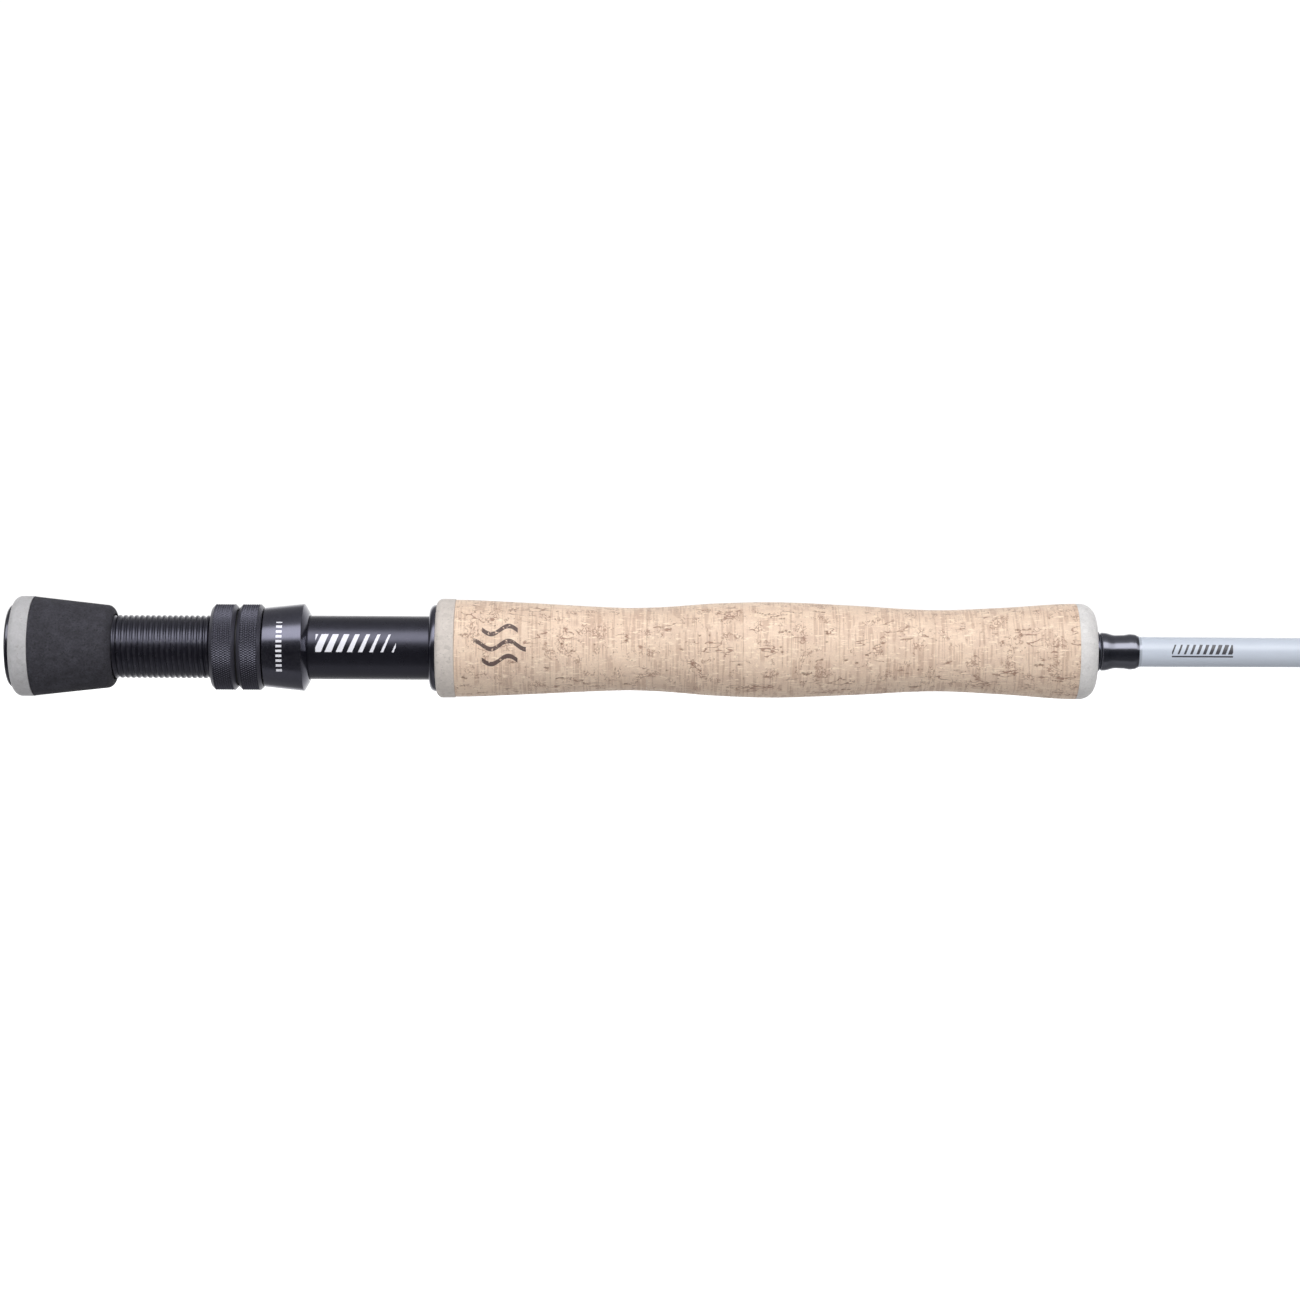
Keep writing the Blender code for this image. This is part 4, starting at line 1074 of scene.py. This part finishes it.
ink = 0.0
swell = add_math(tree, "SINE", add_math(tree, "MULTIPLY", add_math(tree, "SUBTRACT", x, EMBLEM_X),
                                        math.tau / EMBLEM_HALF * EMBLEM_CYCLES))
for number, level in enumerate(EMBLEM_HEIGHTS):
    height = add_math(tree, "SUBTRACT", add_math(tree, "SUBTRACT", z, level),
                      add_math(tree, "MULTIPLY", swell, EMBLEM_SWELL))
    wave = add_math(tree, "LESS_THAN", add_math(tree, "ABSOLUTE", height), EMBLEM_STROKE)
    reach = EMBLEM_HALF * (1.0 if number == 1 else EMBLEM_SHORT)
    bar = place_group(tree, stripe, Start=EMBLEM_X - reach, End=EMBLEM_X + reach,
                      Bottom=-GRIP_RING_RADIUS, Top=GRIP_RING_RADIUS)[0]
    ink = add_math(tree, "MAXIMUM", ink, add_math(tree, "MULTIPLY", wave, bar))
worn = place_group(tree, mottle, Size=0.0009, Detail=3.0, Low=3.6, High=0.0)[0]
ink = add_math(tree, "MULTIPLY", ink, worn, clamp=True)
colour = tinted(tree, colour, ink, 0.95, EMBLEM_COLOUR)
tree.links.new(colour, shader.inputs["Base Color"])
relief = add_math(tree, "SUBTRACT", grain["Value"], add_math(tree, "MULTIPLY", crack, 0.6))
relief = add_math(tree, "SUBTRACT", relief, add_math(tree, "MULTIPLY", grain["Dark"], 0.4))
add_bump(tree, shader, relief, 0.00007)


def make_pits(chance, start, end):
    """Where one ring's pits are: (x, angle, half length along X, half length round, depth). Some lie
    in short chains that make a crack, and the rest are alone."""
    pits = []
    for _ in range(CORK_CRACKS):
        x, angle = chance.uniform(start, end), chance.uniform(0, math.tau)
        for _ in range(chance.randint(2, 6)):
            size = chance.uniform(0.00016, 0.00034)
            pits.append((x, angle, size * chance.uniform(1.2, 2.2), size, size * 0.8))
            x += chance.uniform(0.0003, 0.0009)
            angle += chance.uniform(-0.03, 0.03)
    for _ in range(CORK_PITS):
        size = 0.00014 + 0.00034 * chance.random() ** 3
        pits.append((chance.uniform(start, end), chance.uniform(0, math.tau),
                     size * chance.uniform(0.8, 1.8), size * chance.uniform(0.6, 1.3), size * 0.8))
    return [pit for pit in pits if start + PIT_MARGIN < pit[0] < end - PIT_MARGIN]


def wrapped(angle):
    """The same angle, from -pi to pi."""
    return (angle + math.pi) % math.tau - math.pi


def pit_field(pits):
    """A function of (x, angle) that gives a pit's share there, from 0 to 1, and its depth."""
    def measure(x, angle):
        radius = grip_radius(x)
        deepest = (0.0, 0.0)
        for pit_x, pit_angle, along, around, depth in pits:
            dx = (x - pit_x) / along
            if abs(dx) > 1.5:
                continue
            dy = wrapped(angle - pit_angle) * radius / around
            if abs(dy) > 1.5:
                continue
            rough = noise.noise(Vector((x, radius * math.cos(angle), radius * math.sin(angle))) * 2900)
            share = max(0.0, 1.0 - (dx * dx + dy * dy) * (1 + 1.3 * rough))
            deepest = max(deepest, (share, share ** 0.7 * depth))
        return deepest
    return measure


def blank_bore(start, end):
    """The bore of a sleeve that is glued on the blank."""
    return [(end, blank_radius(end) + GLUE), (start, blank_radius(start) + GLUE)]


for number in range(CORK_RINGS):
    start = CORK_START + number * CORK_PITCH
    end = start + CORK_PITCH - CORK_GAP
    pits = pit_field(make_pits(random.Random(100 + number), start, end))

    def cork_surface(x, angle, pits=pits, start=start, end=end):
        """Pits, and an edge that is sanded back a hair where it meets the next ring."""
        edge = max(0.0, 1 - min(x - start, end - x) / CORK_EDGE)
        spot = Vector((x, 0.012 * math.cos(angle), 0.012 * math.sin(angle)))
        return -pits(x, angle)[1] - 0.00004 * edge + 0.00003 * noise.noise(spot * 900)

    stations = [start, start + CORK_EDGE]
    stations += [start + (end - start) * step / CORK_ROWS for step in range(1, CORK_ROWS)]
    stations += [end - CORK_EDGE, end]
    outside = [(x, grip_radius(x)) for x in stations]
    bore = blank_bore(start, end)
    if number == 0:
        bore[1:] = [(BARREL_END + GAP, blank_radius(BARREL_END) + GLUE),
                    (BARREL_END + GAP, FIXED_HOOD_RADIUS + GAP), (start, FIXED_HOOD_RADIUS + GAP)]
    mesh = turned(f"cork_{number + 1:02d}", outside, bore, segments=CORK_SEGMENTS, relief=cork_surface,
                  marks=lambda x, angle: pits(x, angle)[0])
    add_piece(mesh, cork, "butt_section", [f"cork_ring_{number + 1:02d}"])

# The rear ring fits over the fixed hood and stops just short of the cork. The front ring is glued on
# the blank.
joint = CORK_START - 0.00003
outside = (arc(GRIP_START + GRIP_RING_ROUND, GRIP_RING_RADIUS - GRIP_RING_ROUND, GRIP_RING_ROUND,
               180, 90, 10)
           + [(CORK_START - 0.0002, GRIP_RING_RADIUS - 0.00005), (joint, grip_radius(CORK_START))])
bore = [(joint, FIXED_HOOD_RADIUS + GAP), (GRIP_START, FIXED_HOOD_RADIUS + GAP)]
add_piece(turned("grip_rear_ring_turned", outside, bore, segments=128),
          make_rubber_cork("rear_rubber_cork", REAR_RING_COLOUR), "butt_section",
          ["grip_rear_ring"])

front_radius = grip_radius(CORK_END)
outside = ([(CORK_END, front_radius)]
           + arc(GRIP_END - FRONT_RING_CORNER, front_radius - FRONT_RING_CORNER, FRONT_RING_CORNER,
                 90, 0, 24))
add_piece(turned("grip_front_ring_turned", outside, blank_bore(CORK_END, GRIP_END), segments=128),
          make_rubber_cork("front_rubber_cork", FRONT_RING_COLOUR, speckle=0.4), "butt_section",
          ["grip_front_ring"])


# Winding check and front winding
# A thin anodised ring slipped down to the grip, then black thread wound on the blank and sealed with
# epoxy, which stands thickest against the check and runs out on the paint as a clear skirt.

CHECK_START = GRIP_END + GAP
CHECK_LENGTH = 0.0008
CHECK_RADIUS = 0.0056
THREAD_SPACING = 0.00024
WINDING_COLOUR = (0.009, 0.010, 0.015)
SKIRT_COLOUR = (0.46, 0.50, 0.57)
SKIRT = 0.0009
SKIRT_FILM = 0.00002
WINDING_STEPS = 44
FRONT_WINDING_SETBACK = 0.0004
FRONT_WINDING_END = 0.3046
FRONT_WINDING_FORM = ((0.0, 0.0011), (0.10, 0.00105), (0.42, 0.00042), (0.62, 0.00048), (0.82, 0.00075),
                      (0.93, 0.00065), (1.0, 0.00045))

check_start, check_end = CHECK_START - 0.0002, CHECK_START + CHECK_LENGTH
outside = rounded([(check_start, CHECK_RADIUS - 0.0005), (check_start, CHECK_RADIUS),
                   (check_end, CHECK_RADIUS - 0.0002), (check_end, CHECK_RADIUS - 0.0006)], 0.00015)
mesh = turned("winding_check_ring", outside, blank_bore(check_start, check_end), segments=72)
add_piece(mesh, hood_lacquer, "butt_section", ["winding_check"])

winding_epoxy, tree, shader = new_material("winding_epoxy", IOR=2.6,
                                           Specular_Tint=(0.84, 0.85, 1.0, 1.0))
# The thread is painted darker where its turns meet: painted shade in the creases between them.
turns = add_math(tree, "ABSOLUTE", add_math(tree, "SINE", add_math(
    tree, "MULTIPLY", object_xyz(tree)[0], math.pi / THREAD_SPACING)))
tone = place_group(tree, mottle, Size=0.0009, Detail=3.0, Low=0.75, High=1.25)[0]
level = add_math(tree, "MULTIPLY", tone, add_math(tree, "MULTIPLY_ADD", turns, 0.6, 0.5))
clear = add_node(tree, "Attribute", attribute_name="mark").outputs["Fac"]
colour = mix(tree, clear, shaded(tree, WINDING_COLOUR, level), SKIRT_COLOUR)
tree.links.new(colour, shader.inputs["Base Color"])
add_bump(tree, shader, turns, 0.00005, 0.12)
vary_roughness(tree, shader, Size=0.0015, Detail=3.0, Low=0.08, High=0.17)


def winding_outline(start, end, form):
    """Outline of an epoxied winding. form is (share of its length, height over the blank), and a
    thin clear skirt runs out at each end."""
    points = []
    for step in range(WINDING_STEPS + 1):
        x = start - SKIRT + (end - start + 2 * SKIRT) * step / WINDING_STEPS
        t = min(max((x - start) / (end - start), 0.0), 1.0)
        i = max(k for k in range(len(form) - 1) if form[k][0] <= t)
        u = (t - form[i][0]) / (form[i + 1][0] - form[i][0])
        u = u * u * (3 - 2 * u)
        height = form[i][1] + (form[i + 1][1] - form[i][1]) * u
        inset = min(x - (start - SKIRT), end + SKIRT - x) / (SKIRT * 1.6)
        lip = math.sin(math.pi / 2 * min(max(inset, 0.0), 1.0)) ** 1.5
        points.append((x, blank_radius(x) + SKIRT_FILM + (height - SKIRT_FILM) * lip))
    return points


def add_winding(name, start, end, form, body, replaces=(), segments=48, lift=None):
    """One winding on the blank, as a closed sleeve with its skirts marked as clear. lift(x, angle)
    raises it over what it holds down."""
    outside = winding_outline(start, end, form)
    first, last = outside[0][0], outside[-1][0]
    bore = [(x, blank_radius(x) + SKIRT_FILM / 2) for x in (last, first)]
    edge = SKIRT * 0.15
    mesh = turned(name, outside, bore, segments=segments, relief=lift,
                  marks=lambda x, angle: 0.0 if start - edge <= x <= end + edge else 1.0)
    add_piece(mesh, winding_epoxy, body, replaces)


add_winding("front_winding_epoxy", check_end + FRONT_WINDING_SETBACK, FRONT_WINDING_END,
            FRONT_WINDING_FORM, "butt_section", ["front_winding"], segments=96)


# Ferrule windings
# The socket at the butt end of each upper section is bound with thread and epoxy, so that the push
# fit doesn't split it.

FERRULE_WINDING = 0.030
FERRULE_SETBACK = 0.0005
LOW_FORM = ((0.0, 0.00045), (0.12, 0.0006), (0.5, 0.00068), (0.88, 0.0006), (1.0, 0.00045))

for section in (1, 2, 3):
    start = BLANK_SPANS[section][0] + FERRULE_SETBACK + SKIRT
    add_winding(f"ferrule_winding_{section}_epoxy", start, start + FERRULE_WINDING - 2 * SKIRT, LOW_FORM,
                SECTION_BODIES[section], [f"ferrule_winding_{section}"])


# Snake guides
# Each is one bent stainless wire: two ground-down feet bound to the blank, and a loop between them
# that leans across the rod, so that the line runs through it.

GUIDE_COUNT = 12
GUIDE_FIRST_GAP = 0.0985
GUIDE_GROWTH = 1.10
STRIPPING_GUIDES = {12: 0.0072, 11: 0.0056}
SNAKE_LENGTH = 0.030
SNAKE_LOOP = 0.0150
SNAKE_SWAY = 0.0032
SNAKE_WIRE = 0.00045
SNAKE_HEEL = 0.37  # of its length, from the middle to where a foot slopes down
SNAKE_TAPER = 0.005  # the length that a foot's end thins over
SNAKE_TIP = 0.35  # of the wire's height, at a foot's end
SNAKE_SPREAD = 1.25  # of the wire's width, at a foot's end
SNAKE_HEIGHTS = (0.0044, 0.0062)
SNAKE_FULLNESS = 1.4
SNAKE_LOOP_KNOTS = 12
SNAKE_WINDING = 0.0085
SNAKE_WINDING_OVERHANG = 0.0008
STEEL_COLOUR = (0.58, 0.58, 0.60)
SNAKE_FORM = ((0.0, 0.00035), (0.15, 0.00055), (0.5, 0.00066), (0.85, 0.00055), (1.0, 0.00035))


def guide_x(number):
    """Where a guide's middle is: the gaps grow in a constant ratio from the tip."""
    return ROD_LENGTH - GUIDE_FIRST_GAP * (GUIDE_GROWTH ** number - 1) / (GUIDE_GROWTH - 1)


def smooth_line(points, steps):
    """A Catmull-Rom line through the points, with steps pieces from one to the next."""
    points = [Vector(point) for point in points]
    line = []
    for i in range(len(points) - 1):
        before, after = points[max(i - 1, 0)], points[min(i + 2, len(points) - 1)]
        a, b = points[i], points[i + 1]
        for step in range(steps):
            t = step / steps
            line.append(0.5 * (2 * a + (b - before) * t + (2 * before - 5 * a + 4 * b - after) * t ** 2
                               + (3 * a - before - 3 * b + after) * t ** 3))
    return line + [points[-1]]


def swept(name, line, sizes, sides=16, closed=False):
    """A mesh swept along a line. sizes gives each point's half (width, height)."""
    count = len(line)
    points, faces = [], []
    side = Vector((0, 0, 1))
    for i, spot in enumerate(line):
        if closed:
            tangent = (line[(i + 1) % count] - line[i - 1]).normalized()
        else:
            tangent = (line[min(i + 1, count - 1)] - line[max(i - 1, 0)]).normalized()
        side = (side - tangent * side.dot(tangent)).normalized()
        up = tangent.cross(side)
        width, height = sizes[i]
        for step in range(sides):
            angle = math.tau * step / sides
            points.append(spot + side * width * math.cos(angle) + up * height * math.sin(angle))
    for i in range(count if closed else count - 1):
        for step in range(sides):
            near, far = i * sides, (i + 1) % count * sides
            after = (step + 1) % sides
            faces.append((near + step, near + after, far + after, far + step))
    if not closed:
        faces.append(tuple(reversed(range(sides))))
        faces.append(tuple(range((count - 1) * sides, count * sides)))
    mesh = bpy.data.meshes.new(name)
    mesh.from_pydata(points, [], faces)
    shape = bmesh.new()
    shape.from_mesh(mesh)
    bmesh.ops.recalc_face_normals(shape, faces=shape.faces)
    shape.to_mesh(mesh)
    shape.free()
    return finish_mesh(mesh, sharp=60)


guide_steel, tree, shader = new_material("polished_steel", Metallic=1.0)
tone = place_group(tree, mottle, Size=0.0016, Detail=4.0, Low=0.92, High=1.05)[0]
tree.links.new(shaded(tree, STEEL_COLOUR, tone), shader.inputs["Base Color"])
vary_roughness(tree, shader, Size=0.0008, Detail=4.0, Low=0.10, High=0.22)
lines = place_group(tree, mottle, Size=0.0014, Aspect=0.08, Detail=2.0, Low=0.0, High=1.0)[0]
add_bump(tree, shader, lines, 0.000003)

snake_total = GUIDE_COUNT - len(STRIPPING_GUIDES)
for number in range(1, snake_total + 1):
    label = f"snake_guide_{snake_total + 1 - number:02d}"
    middle = guide_x(number)
    body = SECTION_BODIES[section_at(middle)]
    share = (number - 1) / (snake_total - 1)
    height = SNAKE_HEIGHTS[0] + (SNAKE_HEIGHTS[1] - SNAKE_HEIGHTS[0]) * share
    foot_y = blank_radius(middle) + SNAKE_WIRE * 0.7
    heel = SNAKE_LENGTH * SNAKE_HEEL
    tips = [middle + hand * SNAKE_LENGTH / 2 for hand in (-1, 1)]
    tips = [(x, blank_radius(x) + SNAKE_WIRE * SNAKE_TIP, 0) for x in tips]
    loop = []
    for step in range(SNAKE_LOOP_KNOTS + 1):
        u = 2 * step / SNAKE_LOOP_KNOTS - 1
        rise = height * math.cos(math.pi * u / 2) ** SNAKE_FULLNESS if abs(u) < 1 else 0.0
        loop.append((middle + u * SNAKE_LOOP / 2, foot_y + rise, -SNAKE_SWAY * math.sin(math.pi * u)))
    line = smooth_line([tips[0], (middle - heel, foot_y, 0), *loop, (middle + heel, foot_y, 0), tips[1]],
                       5)
    sizes = []
    for spot in line:
        full = min(1.0, (SNAKE_LENGTH / 2 - abs(spot.x - middle)) / SNAKE_TAPER)
        sizes.append((SNAKE_WIRE * (SNAKE_SPREAD + (1 - SNAKE_SPREAD) * full),
                      SNAKE_WIRE * (SNAKE_TIP + (1 - SNAKE_TIP) * full)))
    add_piece(swept(f"{label}_wire", line, sizes, sides=14), guide_steel, body, [label])

    def over_foot(x, angle, middle=middle):
        """The winding humps over the guide's foot."""
        across = abs(wrapped(angle)) * blank_radius(x) / (SNAKE_WIRE * 2.6)
        under = min(1.0, max(0.0, (SNAKE_LENGTH / 2 + 0.0006 - abs(x - middle)) / 0.004))
        return SNAKE_WIRE * 1.15 * under * math.exp(-across * across)

    for hand, letter in ((-1, "a"), (1, "b")):
        near = middle + hand * (SNAKE_LENGTH / 2 + SNAKE_WINDING_OVERHANG)
        far = near - hand * SNAKE_WINDING
        add_winding(f"{label}_winding_{letter}", min(near, far) + SKIRT, max(near, far) - SKIRT,
                    SNAKE_FORM, body, lift=over_foot)


# Stripping guides
# A polished ceramic ring pressed into a stainless frame. The frame stands on two bent legs in front
# and two behind, and on two flat feet bound down with thread and epoxy.

BEAD = 0.0009
BEAD_FULLNESS = 1.15
FRAME_WIDE = 0.00108
FRAME_HALF = 0.0007
FOOT_GAP = 0.0010
FOOT_LENGTH = 0.0135
FOOT_HALF = 0.0011
FOOT_THICK = 0.0008
FOOT_THINNING = (0.45, 0.7)  # shares of its width and thickness that a foot loses by its tip
FOOT_LINE = ((-0.0012, 0.0024), (0.0, 0.0007), (0.002, 0.0004), (0.008, 0.0004))  # out, height
FOOT_TIP_HEIGHT = 0.00015
RISE = 0.0058
LEG_WIRE = 0.0007
LEG_SPREAD = {1: 62, -1: 24}  # degrees from the bottom of the ring, for the legs at each end
STRIPPING_WINDING_START = 0.0035
CERAMIC_COLOUR = (0.022, 0.022, 0.026)
FOOT_FORM = ((0.0, 0.0004), (0.12, 0.0006), (0.5, 0.0007), (0.88, 0.0006), (1.0, 0.0004))

ceramic, tree, shader = new_material("dark_ceramic", IOR=2.0)
tone = place_group(tree, mottle, Size=0.001, Detail=3.0, Low=0.7, High=1.3)[0]
tree.links.new(shaded(tree, CERAMIC_COLOUR, tone), shader.inputs["Base Color"])
haze = vary_roughness(tree, shader, Size=0.0006, Detail=3.0, Low=0.05, High=0.12)
add_bump(tree, shader, haze, 0.000003)

for number, ring_radius in STRIPPING_GUIDES.items():
    label = GUIDE_COUNT + 1 - number
    middle = guide_x(number)
    body = SECTION_BODIES[section_at(middle)]
    radius = blank_radius(middle)
    ring_y = radius + RISE + ring_radius
    low, high = middle - FRAME_HALF, middle + FRAME_HALF
    outline = rounded([(low, ring_radius + GLUE), (low, ring_radius + FRAME_WIDE),
                       (high, ring_radius + FRAME_WIDE), (high, ring_radius + GLUE)], 0.0004, 5)
    mesh = turned(f"stripping_frame_{label}_wire", outline[:-1], outline[-1:], segments=96,
                  axis_y=ring_y)
    half_foot = ring_radius + FRAME_WIDE + FOOT_GAP
    parts = []
    for hand in (-1, 1):
        inner = middle + hand * half_foot
        outer = inner + hand * FOOT_LENGTH
        ground = [(inner + hand * out, up) for out, up in FOOT_LINE] + [(outer, FOOT_TIP_HEIGHT)]
        line = smooth_line([(x, blank_radius(x) + GLUE + up, 0) for x, up in ground], 6)
        sizes = []
        for spot in line:
            t = min(max((spot.x - inner) / (outer - inner), 0.0), 1.0)
            sizes.append((FOOT_HALF * (1 - FOOT_THINNING[0] * t * t),
                          FOOT_THICK / 2 * (1 - FOOT_THINNING[1] * t)))
        parts.append(swept("foot", line, sizes, sides=12))
        for side in (-1, 1):
            angle = math.radians(-90 + side * LEG_SPREAD[hand])
            reach = ring_radius + FRAME_WIDE / 2
            top = (middle + hand * 0.0003, ring_y + reach * math.sin(angle), reach * math.cos(angle))
            root = (inner + hand * 0.0015, radius + GLUE + FOOT_THICK * 0.7, side * 0.0006)
            knee = (middle + hand * (half_foot * 0.72), radius + RISE * 0.30,
                    0.45 * reach * math.cos(angle))
            line = smooth_line([(inner + hand * 0.004, radius + GLUE + FOOT_THICK * 0.5, side * 0.0005),
                                root, knee, top], 8)
            parts.append(swept("leg", line, [(LEG_WIRE, LEG_WIRE)] * len(line), sides=14))
    for part in parts:
        mesh = combined(mesh, part, "UNION")
    add_piece(mesh, guide_steel, body, [f"stripping_frame_{label}"])
    bead = [(middle + BEAD * BEAD_FULLNESS * math.cos(turn), ring_radius - BEAD + BEAD * math.sin(turn))
            for turn in (math.tau * step / 24 for step in range(24))]
    mesh = turned(f"stripping_ring_{label}_bead", bead[1:], bead[:1], segments=96, axis_y=ring_y)
    add_piece(mesh, ceramic, body, [f"stripping_ring_{label}"])

    def over_flat_foot(x, angle, middle=middle, half_foot=half_foot):
        """The winding rises over the foot and falls to the blank beyond its tip."""
        across = abs(wrapped(angle)) * blank_radius(x) / (FOOT_HALF * 1.5)
        left = (half_foot + FOOT_LENGTH + 0.0004 - abs(x - middle)) / FOOT_LENGTH
        return FOOT_THICK * 1.25 * min(1.0, max(0.0, left) * 1.3) ** 0.7 * math.exp(-across ** 4)

    for hand, letter in ((-1, "a"), (1, "b")):
        inner = middle + hand * (half_foot + STRIPPING_WINDING_START)
        outer = middle + hand * (half_foot + FOOT_LENGTH + 0.0006)
        add_winding(f"stripping_winding_{label}{letter}_epoxy", min(inner, outer) + SKIRT,
                    max(inner, outer) - SKIRT, FOOT_FORM, body,
                    [f"stripping_winding_{label}{letter}"], segments=72, lift=over_flat_foot)


# Tip top
# A stainless tube glued over the end of the rod, with a wire loop brazed to it for the line and two
# struts that brace the loop. Its winding runs up to the tube.

TIP_TOP_LENGTH = 0.014
TIP_LOOP = 0.0037
TIP_LOOP_STEPS = 72
TIP_LOOP_SETBACK = 0.0012
TIP_WIRE = 0.0005
TIP_TUBE_WALL = 0.0003
TIP_TUBE_OVERHANG = 0.0006
TIP_VENT = 0.0002
TIP_WINDING = (0.0071, 0.0011)  # where it starts and ends, behind the tube

tube_start = ROD_LENGTH - TIP_TOP_LENGTH
tube_bore = blank_radius(tube_start) + GLUE
tube_radius = tube_bore + TIP_TUBE_WALL
tube_end = ROD_LENGTH + TIP_TUBE_OVERHANG
inner_end = ROD_LENGTH + 0.0002
outside = [(tube_start, tube_bore + 0.00005), (tube_start, tube_radius), (tube_end, tube_radius),
           (tube_end, 0)]
outside = rounded(outside, 0.0002)[:-1] + [(tube_end, TIP_VENT)]
bore = [(inner_end, TIP_VENT), (inner_end, tube_bore), (tube_start, tube_bore)]
mesh = turned("tip_top_wire", outside, bore, segments=48)
loop_x = tube_end - TIP_LOOP_SETBACK
loop_y = tube_radius + TIP_LOOP
circle = [Vector((loop_x, loop_y + TIP_LOOP * math.sin(a), TIP_LOOP * math.cos(a)))
          for a in (math.tau * step / TIP_LOOP_STEPS for step in range(TIP_LOOP_STEPS))]
loop = swept("tip_loop", circle, [(TIP_WIRE, TIP_WIRE)] * TIP_LOOP_STEPS, closed=True)
mesh = combined(mesh, loop, "UNION")
for side in (-1, 1):
    line = smooth_line([(tube_start + 0.002, tube_radius - 0.0001, side * 0.0003),
                        (tube_start + 0.005, tube_radius + 0.0002, side * 0.0005),
                        (tube_start + 0.010, loop_y * 0.55, side * TIP_LOOP * 0.55),
                        (loop_x, loop_y, side * TIP_LOOP)], 8)
    strut = swept("tip_strut", line, [(TIP_WIRE * 0.9, TIP_WIRE * 0.9)] * len(line), sides=14)
    mesh = combined(mesh, strut, "UNION")
add_piece(mesh, guide_steel, "section_4", ["tip_top"])
add_winding("tip_winding_epoxy", *(tube_start - behind for behind in TIP_WINDING), LOW_FORM, "section_4",
            ["tip_winding"])
